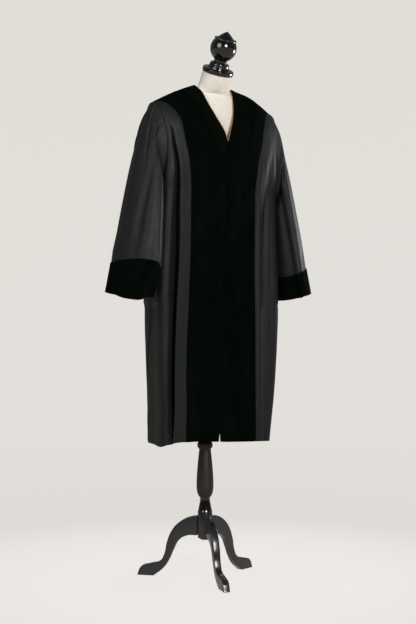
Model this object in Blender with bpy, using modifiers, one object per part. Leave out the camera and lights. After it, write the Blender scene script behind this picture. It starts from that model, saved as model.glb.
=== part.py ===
"""Judicial robe on a limbless dress form with a turned column and a three-legged stand.

Metres, +Z up, the robe's front towards -Y and the wearer's right towards -X.
"""
import math

import bmesh
import bpy
import numpy as np
from mathutils import Matrix, Vector

# ---------------------------------------------------------------- driving sizes
POLE_Y = 0.026                  # the post's axis stands this far behind the middle of the plan
WALL = 0.0016                   # thickness of the wool
VELVET_WALL = 0.0020            # thickness of the velvet
LINING_WALL = 0.0010            # thickness of the satin at the neck
GAP = 0.0003                    # clearance between pieces that meet
SEAM_PULL = 0.0005              # each panel's edge is held back this much from its seam
RIDGE_PULL = 0.0017             # the back is held back from the shoulder seam, where walls meet at an angle
HEM = 0.445                     # height of the hem at the front
BACK_HEM_RISE = 0.016           # how much higher the hem is at the middle of the back
UNDERARM = 1.245                # height of the lowest point of the armhole
SLIT = 0.034                    # the front edges part over this length above the hem
SLIT_HALF_WIDTH = 0.0022
SHOULDER_TIP = (0.222, -0.045, 1.512)
SHOULDER_BOW = 0.004            # the shoulder seam rises this much above a straight line
BACK_NECK = (0.0, 0.020, 1.562)
BACK_COLUMNS = 15               # columns of points across half the back
BACK_NECK_COLUMNS = 5           # of which this many steps follow the neck edge at the top
ARMHOLE_FRONT = 0.063           # reach of the armhole in front of the shoulder seam
ARMHOLE_REAR = 0.077            # and behind it
ARMHOLE_WAIST = 0.015           # the armhole's front and rear lie this much nearer the middle
NECK_LINING_DEPTH = 0.014       # width of the satin band inside the neck
LINING_INSET = 0.0023           # the satin's middle lies this far under the middle of the cloth
BACK_LINING_EASE = 0.0012       # and this much deeper round the back
LINING_LEAN = 0.10              # round the back it leans in towards the form by this slope

FORM_BOTTOM = 0.850
SOCKET_DEPTH = 0.120
SPIGOT_RADIUS = 0.0120
NECK_LEAN = math.radians(26.0)  # the neck cap and the finial lean forward
NECK_TOP = (0.0, -0.075, 1.621)
LEG_THICKNESS = 0.021
LEG_EASE = 0.0035
LEG_TURN = math.radians(15.4)   # direction of the first leg, from +X towards +Y
LEGS = 3


def table(columns, *rows):
    """Rows of numbers as named columns."""
    names = columns.split()
    return {name: [row[i] for row in rows] for i, name in enumerate(names)}


# Girth of the robe at several heights, half of it, from the middle of the front round to the
# middle of the back: front seam, front corner, side seam, rear corner.
GIRTH = table(
    "height centre_y seam_x seam_y corner_x corner_y side_x side_y rear_x rear_y back_y",
    (0.445, -0.084, 0.134, -0.092, 0.204, -0.095, 0.190, -0.012, 0.184, 0.110, 0.096),
    (0.650, -0.090, 0.131, -0.096, 0.219, -0.100, 0.202, -0.013, 0.192, 0.114, 0.098),
    (0.900, -0.100, 0.128, -0.103, 0.232, -0.107, 0.209, -0.014, 0.197, 0.117, 0.099),
    (1.090, -0.116, 0.124, -0.112, 0.222, -0.112, 0.209, -0.020, 0.190, 0.110, 0.096),
    (1.245, -0.128, 0.124, -0.121, 0.214, -0.116, 0.213, -0.045, 0.200, 0.088, 0.092),
)
# Seam between the velvet and the wool above the underarm, up to the shoulder tip.
SEAM = table(
    "x y z",
    (0.124, -0.121, 1.245),
    (0.134, -0.127, 1.334),
    (0.148, -0.124, 1.397),
    (0.160, -0.110, 1.462),
    (0.178, -0.089, 1.496),
    (0.203, -0.062, 1.514),
    SHOULDER_TIP,
)
# Neck edge from the point of the V to the shoulder seam, then round the back.
NECK = table(
    "x y z",
    (0.0000, -0.1330, 1.394),
    (0.0094, -0.1300, 1.424),
    (0.0320, -0.1130, 1.475),
    (0.0483, -0.0906, 1.521),
    (0.0590, -0.0680, 1.561),
    (0.0685, -0.0460, 1.581),
)
BACK_NECK_EDGE = table(
    "x y z",
    (0.0685, -0.0460, 1.581),
    (0.0655, -0.0200, 1.570),
    (0.0430, 0.0090, 1.565),
    BACK_NECK,
)
# Lines across the back above the underarm: share of the way up, the middle, a corner on the way
# to the armhole, how sharply the line rounds it, and where it meets the armhole, in degrees.
BACK_LINES = table(
    "share middle_y middle_z corner_x corner_y corner_z weight turn",
    (0.50, 0.084, 1.430, 0.180, 0.078, 1.405, 1.3, 82.0),
    (0.85, 0.045, 1.531, 0.150, 0.034, 1.522, 1.0, 35.0),
)
# Sleeve, right round at each station: outer, front, under and rear points of its section.
SLEEVE = table(
    "station outer_x outer_z under_x under_z front_x front_y front_z rear_x rear_y rear_z power",
    (0.00, 0.222, 1.512, 0.215, 1.245, 0.198, -0.108, 1.380, 0.198, 0.032, 1.380, 2.0),
    (0.05, 0.234, 1.494, 0.2240, 1.224, 0.2230, -0.103, 1.364, 0.222, 0.036, 1.362, 2.0),
    (0.25, 0.264, 1.370, 0.229, 1.160, 0.238, -0.107, 1.276, 0.236, 0.046, 1.278, 2.1),
    (0.55, 0.304, 1.195, 0.234, 1.068, 0.262, -0.120, 1.140, 0.260, 0.049, 1.145, 2.2),
    (0.80, 0.339, 1.039, 0.239, 0.980, 0.284, -0.132, 1.006, 0.284, 0.050, 1.012, 2.2),
    (1.00, 0.363, 0.9235, 0.242, 0.907, 0.301, -0.139, 0.898, 0.301, 0.052, 0.914, 2.2),
)
SLEEVE_Y = -0.046               # depth of the sleeve's outer and under lines
HEAD_STATION = 0.05             # the sleeve leaves the armhole over this share of its length
ARMHOLE_GAP = 0.0024            # the sleeve's edge stands this far out from the armhole
UNDERARM_GAP = 0.0028           # and this much more at the underarm
CUFF_GAP = 0.0012               # share of the sleeve's length left between wool and cuff
SLEEVE_LENGTH = 0.600
# Depth of the velvet cuff round the sleeve; the right one is cut deeper at the front.
CUFF_DEPTH = table(
    "turn right left",
    (0.0, 0.092, 0.086),
    (90.0, 0.120, 0.088),
    (180.0, 0.098, 0.086),
    (270.0, 0.096, 0.088),
    (360.0, 0.092, 0.086),
)
# Folds of the wool. place: metres across from the seam (fronts) or from the middle (back), at
# the hem and at the underarm; wall and ramp: how wide the steep and the slack sides are.
FRONT_FOLDS = table(
    "hem_place top_place wall ramp hem_depth top_depth fade_height",
    (0.042, 0.036, 0.014, 0.060, 0.012, 0.014, 1.400),
    (0.150, 0.120, 0.024, 0.046, 0.008, 0.004, 1.150),
)
BACK_FOLDS = table(
    "hem_place top_place wall ramp hem_depth top_depth fade_height",
    (0.034, 0.028, 0.020, 0.044, 0.010, 0.006, 1.450),
    (0.112, 0.086, 0.022, 0.050, 0.013, 0.007, 1.420),
    (0.198, 0.158, 0.020, 0.036, 0.009, 0.003, 1.330),
)
# Pleats of the sleeve head: place in degrees round the sleeve from the shoulder seam to the front.
SLEEVE_PLEATS = table(
    "turn half_width depth reach",
    (-44.0, 13.0, 0.0060, 0.65),
    (-16.0, 11.0, 0.0050, 0.45),
    (14.0, 11.0, 0.0055, 0.55),
    (46.0, 13.0, 0.0075, 0.85),
)
# Dress form: level sections below the neck, then leaning rings up to the neck cap.
FORM = table(
    "height middle_y half_width half_front half_rear lean power",
    (0.850, 0.000, 0.150, 0.078, 0.080, 0.0, 2.3),
    (0.950, 0.000, 0.163, 0.086, 0.088, 0.0, 2.3),
    (1.060, -0.006, 0.150, 0.080, 0.076, 0.0, 2.3),
    (1.150, -0.012, 0.136, 0.078, 0.070, 0.0, 2.2),
    (1.250, -0.020, 0.152, 0.088, 0.078, 0.0, 2.3),
    (1.340, -0.026, 0.172, 0.090, 0.080, 0.0, 2.4),
    (1.410, -0.032, 0.181, 0.078, 0.080, 0.0, 2.4),
    (1.470, -0.039, 0.181, 0.063, 0.066, 0.0, 2.2),
    (1.505, -0.042, 0.181, 0.051, 0.052, 0.0, 1.9),
    (1.524, -0.044, 0.176, 0.040, 0.040, 0.0, 1.7),
    (1.5420, -0.045, 0.155, 0.035, 0.033, 0.0, 1.5),
    (1.5552, -0.045, 0.124, 0.0295, 0.029, 2.0, 1.2),
    (1.560, -0.047, 0.086, 0.0355, 0.0325, 6.0, 1.2),
    (1.569, -0.050, 0.0535, 0.0437, 0.0415, 11.0, 1.8),
    (1.582, -0.055, 0.0520, 0.0500, 0.0470, 17.0, 2.0),
    (1.600, -0.064, 0.0490, 0.0490, 0.0480, 22.0, 2.0),
    (1.6205, -0.0747, 0.0480, 0.0480, 0.0480, 26.0, 2.0),
)
# Turned profiles: distance along the axis and radius.
CAP_PROFILE = table(
    "along radius",
    (0.0000, 0.0000), (0.0000, 0.0486), (0.0015, 0.0500), (0.0118, 0.0500), (0.0142, 0.0478),
    (0.0150, 0.0360), (0.0188, 0.0352), (0.0215, 0.0320), (0.0305, 0.0308), (0.0332, 0.0280),
    (0.0345, 0.0212), (0.0345, 0.0000),
)
BALL_CENTRE = 0.0800
BALL_RADIUS = 0.0420
BALL_FOOT_RADIUS = 0.0208
BALL_TOP_RADIUS = 0.0315
FINIAL_TOP = table(
    "along radius",
    (0.1065, 0.0312), (0.1075, 0.0355), (0.1105, 0.0355), (0.1115, 0.0262), (0.1140, 0.0246),
    (0.1215, 0.0170), (0.1290, 0.0078), (0.1340, 0.0000),
)
COLUMN_PROFILE = table(
    "height radius",
    (0.2123, 0.0000), (0.2123, 0.0225), (0.2150, 0.0240), (0.2180, 0.0225), (0.2200, 0.0218),
    (0.2450, 0.0172), (0.2565, 0.0158), (0.2600, 0.0162), (0.2640, 0.0200), (0.2720, 0.0240),
    (0.2850, 0.0268), (0.3000, 0.0275), (0.3200, 0.0271), (0.3500, 0.0252), (0.3800, 0.0225),
    (0.4050, 0.0198), (0.4160, 0.0188), (0.4190, 0.0210), (0.4220, 0.0240), (0.4290, 0.0250),
    (0.4360, 0.0240), (0.4400, 0.0205), (0.4400, 0.0000),
)
HUB_PROFILE = table(
    "height radius",
    (0.1240, 0.0000), (0.1240, 0.0150), (0.1262, 0.0178), (0.1290, 0.0190), (0.1292, 0.0235),
    (0.2120, 0.0235), (0.2120, 0.0000),
)
POST_PROFILE = table(
    "height radius",
    (0.4403, 0.0000), (0.4403, 0.0155), (0.8497, 0.0155), (0.8497, 0.0120), (0.9650, 0.0120),
    (0.9670, 0.0100), (0.9670, 0.0000),
)
# Outline of a leg in its own plane: distance from the hub's axis, height, corner (1) or curve (0).
LEG_OUTLINE = table(
    "reach height corner",
    (0.0240, 0.2005, 1), (0.0530, 0.1945, 0), (0.0850, 0.1770, 0), (0.1085, 0.1510, 0),
    (0.1250, 0.1130, 0), (0.1345, 0.0720, 0), (0.1480, 0.0500, 0), (0.1850, 0.0385, 0),
    (0.2120, 0.0290, 0), (0.2260, 0.0000, 1), (0.1710, 0.0000, 1), (0.1380, 0.0260, 0),
    (0.1190, 0.0540, 0), (0.1040, 0.0870, 0), (0.0860, 0.1190, 0), (0.0580, 0.1350, 0),
    (0.0240, 0.1370, 1),
)

# sRGB colours, roughness and metallic value of each finish
FINISHES = {
    "velvet_black": ((10, 14, 11), 0.85, 0.0),
    "wool_black": ((38, 38, 39), 0.60, 0.0),
    "satin_gold": ((176, 134, 84), 0.40, 0.0),
    "jersey_ivory": ((230, 222, 208), 0.80, 0.0),
    "wood_gloss_black": ((22, 21, 22), 0.18, 0.0),
    "wood_dark": ((50, 46, 45), 0.35, 0.0),
    "wood_satin_black": ((46, 47, 48), 0.30, 0.0),
    "metal_black": ((40, 41, 42), 0.35, 0.8),
}


# ---------------------------------------------------------------- reading the tables
def smooth(places, values, at):
    """Value at a place between rows, on a smooth curve through every row."""
    places, values = np.asarray(places, float), np.asarray(values, float)
    at = min(max(at, places[0]), places[-1])
    slopes = np.gradient(values, places)
    i = min(int(np.searchsorted(places, at, side="right")) - 1, len(places) - 2)
    i = max(i, 0)
    span = places[i + 1] - places[i]
    t = (at - places[i]) / span
    start, end = values[i], values[i + 1]
    return (
        (2 * t**3 - 3 * t**2 + 1) * start + (t**3 - 2 * t**2 + t) * span * slopes[i]
        + (3 * t**2 - 2 * t**3) * end + (t**3 - t**2) * span * slopes[i + 1]
    )


def row_at(rows, at, by):
    """Every column of a table at a place between its rows."""
    return {name: smooth(rows[by], rows[name], at) for name in rows if name != by}


def along(rows, share):
    """Point at a share of the length of the curve through a table's x, y and z."""
    points = np.array([rows["x"], rows["y"], rows["z"]]).T
    steps = np.linalg.norm(np.diff(points, axis=0), axis=1)
    places = np.concatenate([[0.0], np.cumsum(steps)])
    at = share * places[-1]
    return Vector([smooth(places, points[:, k], at) for k in range(3)])


def length_of(rows):
    points = np.array([rows["x"], rows["y"], rows["z"]]).T
    return float(np.linalg.norm(np.diff(points, axis=0), axis=1).sum())


def ease(value):
    """Smooth step from 0 to 1."""
    value = min(max(value, 0.0), 1.0)
    return value * value * (3.0 - 2.0 * value)


def mix(a, b, share):
    return a + (b - a) * share


# ---------------------------------------------------------------- lines of the robe
# "rise" runs from 0 at the hem to 1 at the underarm and 2 at the shoulder.
def height_at(rise):
    return mix(HEM, UNDERARM, rise)


def centre_line(rise):
    """Front edge: up the middle of the front, then along the neck edge to the shoulder seam."""
    if rise <= 1.0:
        z = height_at(rise)
        return Vector((0.0, smooth(GIRTH["height"], GIRTH["centre_y"], z), z))
    opening = NECK["z"][0]
    straight, curved = opening - UNDERARM, length_of(NECK)
    at = (rise - 1.0) * (straight + curved)
    if at <= straight:
        y = mix(GIRTH["centre_y"][-1], NECK["y"][0], at / straight)
        return Vector((0.0, y, UNDERARM + at))
    return along(NECK, (at - straight) / curved)


def seam_line(rise):
    """Seam between the velvet and the wool."""
    if rise <= 1.0:
        row = row_at(GIRTH, height_at(rise), "height")
        return Vector((row["seam_x"], row["seam_y"], height_at(rise)))
    return along(SEAM, rise - 1.0)


def armhole(turn):
    """Armhole edge: 0 degrees at the shoulder, 90 at the front, 180 at the underarm."""
    angle = math.radians(turn)
    tip_x, tip_y, tip_z = SHOULDER_TIP
    reach = ARMHOLE_FRONT if math.sin(angle) > 0 else ARMHOLE_REAR
    x = mix(GIRTH["side_x"][-1], tip_x, 0.5 + 0.5 * math.cos(angle)) - ARMHOLE_WAIST * math.sin(angle) ** 2
    z = mix(UNDERARM, tip_z, 0.5 + 0.5 * math.cos(angle))
    return Vector((x, tip_y - reach * math.sin(angle), z))


def side_line(rise, rear=False):
    """Side seam, then the front or the rear half of the armhole."""
    if rise <= 1.0:
        row = row_at(GIRTH, height_at(rise), "height")
        return Vector((row["side_x"], row["side_y"], height_at(rise)))
    turn = 180.0 * (2.0 - rise)
    return armhole(-turn if rear else turn)


def shoulder_point(share):
    """Shoulder seam from the neck (0) to the tip (1)."""
    neck = Vector((NECK["x"][-1], NECK["y"][-1], NECK["z"][-1]))
    point = neck.lerp(Vector(SHOULDER_TIP), share)
    point.z += SHOULDER_BOW * math.sin(math.pi * share)
    return point


def rounded(start, corner, end, weight, count):
    """Evenly spaced points round a corner (a conic from start to end)."""
    fine = []
    for i in range(121):
        u = i / 120
        a, b, c = (1 - u) ** 2, 2 * u * (1 - u) * weight, u * u
        fine.append((start * a + corner * b + end * c) / (a + b + c))
    places = [0.0]
    for first, second in zip(fine, fine[1:]):
        places.append(places[-1] + (second - first).length)
    fine = np.array([tuple(p) for p in fine])
    wanted = np.linspace(0.0, places[-1], count)
    return [Vector([float(np.interp(w, places, fine[:, k])) for k in range(3)]) for w in wanted]


# ---------------------------------------------------------------- rows of points across a panel
def velvet_row(rise, count):
    """From the front edge to the seam, slightly crowned across the chest."""
    inner, outer = centre_line(rise), seam_line(rise)
    inner.x += SEAM_PULL
    if rise * (UNDERARM - HEM) < SLIT:
        inner.x += SLIT_HALF_WIDTH * (1.0 - rise * (UNDERARM - HEM) / SLIT)
    crown = 0.006 * ease(rise - 0.6) * (1.0 - ease((rise - 1.6) / 0.4))
    bow = SHOULDER_BOW * ease((rise - 1.7) / 0.3)
    row = []
    for i in range(count):
        share = i / (count - 1)
        point = inner.lerp(outer, share)
        swell = math.sin(math.pi * share)
        row.append(point + Vector((0.0, -crown * swell, bow * swell)))
    return row


def front_wool_row(rise, count):
    """From the seam round the front corner to the side seam or the armhole."""
    start, end = seam_line(rise), side_line(rise)
    if rise <= 1.0:
        row = row_at(GIRTH, height_at(rise), "height")
        corner = Vector((row["corner_x"], row["corner_y"], height_at(rise)))
        weight = 2.6
    else:
        share = rise - 1.0
        spare = Vector((GIRTH["corner_x"][-1] - GIRTH["side_x"][-1], 0.005, 0.0)) * (1.0 - share)
        corner = Vector((end.x, start.y, 0.5 * (start.z + end.z))) + spare
        weight = mix(2.6, 0.5, ease(share * 1.6))
    return rounded(start, corner, end, weight, count)


def back_row(rise, count):
    """From the middle of the back to the side seam or the armhole."""
    if rise <= 1.0:
        row = row_at(GIRTH, height_at(rise), "height")
        z = height_at(rise)
        middle, side = Vector((0.0, row["back_y"], z)), Vector((row["side_x"], row["side_y"], z))
        return rounded(middle, Vector((row["rear_x"], row["rear_y"], z)), side, 2.0, count)
    share = rise - 1.0
    lines = [back_row(1.0, count)]
    for i, turn in enumerate(BACK_LINES["turn"]):
        middle = Vector((0.0, BACK_LINES["middle_y"][i], BACK_LINES["middle_z"][i]))
        corner = Vector([BACK_LINES[f"corner_{axis}"][i] for axis in "xyz"])
        lines.append(rounded(middle, corner, armhole(-turn), BACK_LINES["weight"][i], count))
    lines.append(back_top(count))
    places = [0.0] + BACK_LINES["share"] + [1.0]
    row = []
    for i in range(count):
        row.append(Vector([smooth(places, [line[i][k] for line in lines], share) for k in range(3)]))
    miss = side_line(rise, rear=True) - row[-1]
    return [point + miss * (i / (count - 1)) ** 3 for i, point in enumerate(row)]


def back_top(count):
    """Top edge of the back: the neck edge, then the shoulder seam."""
    neck_share = BACK_NECK_COLUMNS / (count - 1)
    row = []
    for i in range(count):
        share = i / (count - 1)
        if share < neck_share:
            row.append(along(BACK_NECK_EDGE, 1.0 - share / neck_share))
        else:
            row.append(shoulder_point((share - neck_share) / (1.0 - neck_share)))
    return row


def fold_depth(folds, place, rise):
    """How far the cloth sinks at a place across it: a steep wall, then a slack ramp."""
    z = height_at(rise)
    share = min(max((z - HEM) / (UNDERARM - HEM), 0.0), 1.0)
    sink = 0.0
    for i in range(len(folds["wall"])):
        middle = mix(folds["hem_place"][i], folds["top_place"][i], share)
        depth = mix(folds["hem_depth"][i], folds["top_depth"][i], share)
        depth *= 1.0 - ease((z - folds["fade_height"][i] + 0.20) / 0.20)
        off = place - middle
        if off < 0:
            sink += depth * ease(1.0 + off / folds["wall"][i])
        else:
            sink += depth * ease(1.0 - off / folds["ramp"][i])
    return sink


def fold_row(row, rise, folds, hold_ends):
    """Sink a row's points along the level normal of the row by its folds."""
    place, folded = 0.0, []
    for i, point in enumerate(row):
        before, after = row[max(i - 1, 0)], row[min(i + 1, len(row) - 1)]
        if i:
            place += (point - row[i - 1]).length
        run = after - before
        outward = Vector((run.y, -run.x, 0.0)).normalized() * hold_ends[2]
        share = i / (len(row) - 1)
        hold = ease(share / hold_ends[0]) if hold_ends[0] else 1.0
        hold *= ease((1.0 - share) / hold_ends[1]) if hold_ends[1] else 1.0
        folded.append(point - outward * fold_depth(folds, place, rise) * hold)
    return folded


def front_wool_folded(rise, count):
    return fold_row(front_wool_row(rise, count), rise, FRONT_FOLDS, (0.10, 0.12, 1.0))


def back_folded(rise, count):
    """The back's row with its folds, raised towards the middle at the hem."""
    row = fold_row(back_row(rise, count), rise, BACK_FOLDS, (0.0, 0.10, -1.0))
    lift = BACK_HEM_RISE * (1.0 - ease(rise / 0.35))
    for i, point in enumerate(row):
        point.z += lift * (1.0 - ease(i / (count - 1)))
    return row


def sleeve_point(turn, station):
    """Point of the sleeve: turn in degrees from the outer line towards the front."""
    row = row_at(SLEEVE, station, "station")
    angle = math.radians(turn)
    outer = Vector((row["outer_x"], SLEEVE_Y, row["outer_z"]))
    under = Vector((row["under_x"], SLEEVE_Y, row["under_z"]))
    front = Vector((row["front_x"], row["front_y"], row["front_z"]))
    rear = Vector((row["rear_x"], row["rear_y"], row["rear_z"]))
    middle = (outer + under) * 0.5
    side = (front if math.sin(angle) > 0 else rear) - middle
    reach = math.copysign(abs(math.cos(angle)) ** (2.0 / row["power"]), math.cos(angle))
    point = middle + (outer - middle) * reach + side * abs(math.sin(angle)) ** (2.0 / row["power"])
    seat = armhole(turn)
    seat.x += ARMHOLE_GAP + UNDERARM_GAP * (0.5 - 0.5 * math.cos(angle))
    return point.lerp(seat, 1.0 - ease(station / HEAD_STATION))


def pleat_depth(turn, station):
    sink = 0.0
    around = (turn + 180.0) % 360.0 - 180.0
    for i in range(len(SLEEVE_PLEATS["turn"])):
        off = abs(around - SLEEVE_PLEATS["turn"][i]) / SLEEVE_PLEATS["half_width"][i]
        fade = ease(station / 0.04) * (1.0 - ease(station / SLEEVE_PLEATS["reach"][i]))
        sink += SLEEVE_PLEATS["depth"][i] * ease(1.0 - off) * fade
    return sink


def sleeve_row(station_at, count):
    """A ring of the sleeve, closed; station_at gives the station for each turn."""
    row = []
    for i in range(count):
        turn = 360.0 * i / count
        station = station_at(turn)
        point = sleeve_point(turn, station)
        around = sleeve_point(turn + 2.0, station) - sleeve_point(turn - 2.0, station)
        step = min(station + 0.02, 1.0)
        down = sleeve_point(turn, step) - sleeve_point(turn, step - 0.04)
        outward = around.cross(down).normalized()
        row.append(point - outward * pleat_depth(turn, station))
    return row


def cuff_start(turn, word):
    """Station at which the velvet cuff begins, on the right or the left sleeve."""
    return 1.0 - smooth(CUFF_DEPTH["turn"], CUFF_DEPTH[word], turn % 360.0) / SLEEVE_LENGTH


# ---------------------------------------------------------------- making the objects
def material(name):
    """A plain finish by name."""
    if name in bpy.data.materials:
        return bpy.data.materials[name]
    colour, roughness, metallic = FINISHES[name]
    linear = [(c / 255 / 12.92) if c <= 10 else ((c / 255 + 0.055) / 1.055) ** 2.4 for c in colour]
    made = bpy.data.materials.new(name)
    made.use_nodes = True
    shader = made.node_tree.nodes["Principled BSDF"]
    shader.inputs["Base Color"].default_value = (*linear, 1.0)
    shader.inputs["Roughness"].default_value = roughness
    shader.inputs["Metallic"].default_value = metallic
    return made


def new_object(name, mesh, finish, group, floor_centre):
    """Link an object under the empty at the middle of the floor plan."""
    made = bpy.data.objects.new(name, mesh)
    made.data.materials.append(material(finish))
    group.objects.link(made)
    made.parent = floor_centre
    return made


def sheet_mesh(name, rows, closed=False):
    """Mesh of a grid whose vertices lie on the given rows; closed joins the first and last column."""
    across, up = len(rows[0]) + (1 if closed else 0), len(rows)
    grid = bmesh.new()
    bmesh.ops.create_grid(grid, x_segments=across - 1, y_segments=up - 1, size=1.0)
    grid.verts.ensure_lookup_table()
    for vertex in grid.verts:
        column = round((vertex.co.x + 1.0) * 0.5 * (across - 1))
        line = round((vertex.co.y + 1.0) * 0.5 * (up - 1))
        vertex.co = rows[line][column % len(rows[0])]
    bmesh.ops.remove_doubles(grid, verts=grid.verts, dist=0.00005)
    mesh = bpy.data.meshes.new(name)
    grid.to_mesh(mesh)
    grid.free()
    mesh.shade_smooth()
    return mesh


def thicken(piece, wall, offset=0.0):
    shell = piece.modifiers.new("Wall", "SOLIDIFY")
    shell.thickness = wall
    shell.offset = offset
    shell.use_even_offset = True
    return piece


def mirrored(rows):
    """Rows of the other side of the robe, in the same order round the body."""
    return [[Vector((-p.x, p.y, p.z)) for p in reversed(row)] for row in rows]


def pull_in(rows, start, end):
    """Move the first and last columns of a panel inwards, to leave the gap at its seams."""
    for row in rows:
        for edge, inner, share in ((0, 1, start), (-1, -2, end)):
            reach = row[inner] - row[edge]
            if reach.length > share > 0.0:
                row[edge] = row[edge] + reach.normalized() * share
    return rows


def panel(name, rows, wall, finish, side, group, floor_centre):
    """One panel; side is -1 for the wearer's right, +1 for the left."""
    rows = rows if side > 0 else mirrored(rows)
    return thicken(new_object(name, sheet_mesh(name, rows), finish, group, floor_centre), wall)


def levels(below, above, top=2.0):
    """Rises from the hem to the underarm and on to the top."""
    return [i / below for i in range(below)] + [1.0 + (top - 1.0) * i / above for i in range(above + 1)]


def front_rises():
    """Levels of the front panels; the wool stops at the last but one, just under the shoulder tip."""
    return levels(9, 12)[:-1] + [1.975, 2.0]


def make_fronts(group, floor_centre):
    rises = front_rises()
    for side, word in ((-1, "right"), (1, "left")):
        rows = [velvet_row(rise, 6) for rise in rises]
        pull_in(rows, 0.0, SEAM_PULL)
        panel(f"front_velvet_{word}", rows, VELVET_WALL, "velvet_black", side, group, floor_centre)
        rows = [front_wool_folded(rise, 13) for rise in rises[:-1]]
        pull_in(rows, SEAM_PULL, SEAM_PULL)
        panel(f"side_front_{word}", rows, WALL, "wool_black", side, group, floor_centre)


def make_back(group, floor_centre):
    halves = []
    for rise in levels(9, 12):
        half = back_folded(rise, BACK_COLUMNS)
        pull_in([half], 0.0, SEAM_PULL)
        halves.append([Vector((-p.x, p.y, p.z)) for p in reversed(half)] + half[1:])
    for row in halves[-1:]:
        for point in row:
            point.y += RIDGE_PULL
    turned = [list(reversed(row)) for row in halves]
    piece = new_object("back", sheet_mesh("back", turned), "wool_black", group, floor_centre)
    thicken(piece, WALL)


def make_sleeves(group, floor_centre):
    around = 28
    for side, word in ((-1, "right"), (1, "left")):
        stations = [0.0, 0.025, 0.06, 0.12, 0.2, 0.3, 0.42, 0.55, 0.68, 0.84, 1.0]
        rows = [
            sleeve_row(lambda turn, s=s: s * (cuff_start(turn, word) - CUFF_GAP), around) for s in stations
        ]
        cuff = [
            sleeve_row(lambda turn, s=s: mix(cuff_start(turn, word), 1.0, s), around)
            for s in (0.0, 0.5, 1.0)
        ]
        for name, ring_rows, wall, finish in (
            (f"sleeve_{word}", rows, WALL, "wool_black"),
            (f"cuff_{word}", cuff, VELVET_WALL, "velvet_black"),
        ):
            if side > 0:
                ring_rows = [list(reversed(row)) for row in ring_rows]
            else:
                ring_rows = [[Vector((-p.x, p.y, p.z)) for p in row] for row in ring_rows]
            mesh = sheet_mesh(name, ring_rows, closed=True)
            thicken(new_object(name, mesh, finish, group, floor_centre), wall)


def lining_front(rise, reach):
    """Point of the satin band: so far in from the neck edge across the velvet, and under it."""
    edge, seam = centre_line(rise), seam_line(rise)
    across = (seam - edge).normalized()
    up = (centre_line(min(rise + 0.02, 2.0)) - centre_line(rise - 0.02)).normalized()
    inward = across.cross(up).normalized()
    inward = inward if inward.y > 0 else -inward
    return edge + across * (reach + VELVET_WALL) + inward * LINING_INSET


def lining_back(share, reach):
    """The same round the back of the neck; share runs from the shoulder to the middle."""
    edge = along(BACK_NECK_EDGE, share)
    run = (along(BACK_NECK_EDGE, share + 0.02) - along(BACK_NECK_EDGE, share - 0.02)).normalized()
    cloth = Vector((0.91, 0.0, -0.41)).lerp(Vector((0.0, 0.45, -0.89)), share)
    away = (cloth - run * cloth.dot(run)).normalized()
    inward = run.cross(away).normalized()
    inward = inward if inward.z < 0 else -inward
    depth = LINING_INSET + BACK_LINING_EASE + reach * LINING_LEAN
    return edge + away * (reach + 1.5 * WALL) + inward * depth


def make_neck_lining(group, floor_centre):
    """Satin band inside the neck: from the V up one side, round the back and down the other."""
    start = 1.0 + (NECK["z"][0] - UNDERARM) / (NECK["z"][0] - UNDERARM + length_of(NECK)) + 0.03
    rises = [start] + [rise for rise in front_rises() if start + 0.02 < rise < 2.0]
    shares = [i / BACK_NECK_COLUMNS for i in range(1, BACK_NECK_COLUMNS + 1)]
    rows = []
    for reach in (0.0, NECK_LINING_DEPTH * 0.5, NECK_LINING_DEPTH):
        half = [lining_front(rise, reach) for rise in rises]
        half += [lining_back(share, reach) for share in shares]
        half[-1].x = 0.0
        rows.append([Vector((-p.x, p.y, p.z)) for p in half] + list(reversed(half[:-1])))
    piece = new_object("neck_lining", sheet_mesh("neck_lining", rows), "satin_gold", group, floor_centre)
    thicken(piece, LINING_WALL)


def form_ring(row, count):
    """A ring of the dress form: wide superellipse, leaning forward about its own middle."""
    middle = Vector((0.0, row["middle_y"], row["height"]))
    tilt = Matrix.Rotation(math.radians(row["lean"]), 3, "X")
    points = []
    for i in range(count):
        angle = 2 * math.pi * i / count
        c, s = math.cos(angle), math.sin(angle)
        x = math.copysign(abs(c) ** (2 / row["power"]), c) * row["half_width"]
        depth = row["half_front"] if s < 0 else row["half_rear"]
        y = math.copysign(abs(s) ** (2 / row["power"]), s) * depth
        points.append(middle + tilt @ Vector((x, y, 0.0)))
    return points


def make_form(group, cutters, floor_centre):
    """Torso of the dress form, with a socket for the post in its flat underside."""
    count, columns = 32, [n for n in FORM if n != "height"]
    rows = []
    for i, height in enumerate(FORM["height"]):
        row = {name: FORM[name][i] for name in columns}
        row["height"] = height
        rows.append(form_ring(row, count))
    mesh = sheet_mesh("bust_form", rows, closed=True)
    body = bmesh.new()
    body.from_mesh(mesh)
    bmesh.ops.holes_fill(body, edges=[e for e in body.edges if e.is_boundary], sides=0)
    bmesh.ops.recalc_face_normals(body, faces=body.faces)
    body.to_mesh(mesh)
    body.free()
    form = new_object("bust_form", mesh, "jersey_ivory", group, floor_centre)
    tool = bmesh.new()
    bmesh.ops.create_cone(
        tool, cap_ends=True, segments=32, radius1=SPIGOT_RADIUS + GAP, radius2=SPIGOT_RADIUS + GAP,
        depth=2 * SOCKET_DEPTH,
    )
    socket_mesh = bpy.data.meshes.new("socket_cutter")
    tool.to_mesh(socket_mesh)
    tool.free()
    socket = bpy.data.objects.new("socket_cutter", socket_mesh)
    socket.location = (0.0, 0.0, FORM_BOTTOM)
    socket.parent = floor_centre
    socket.hide_render = True
    socket.display_type = "WIRE"
    cutters.objects.link(socket)
    cut = form.modifiers.new("Socket", "BOOLEAN")
    cut.operation, cut.solver, cut.object = "DIFFERENCE", "EXACT", socket
    return form


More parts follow.
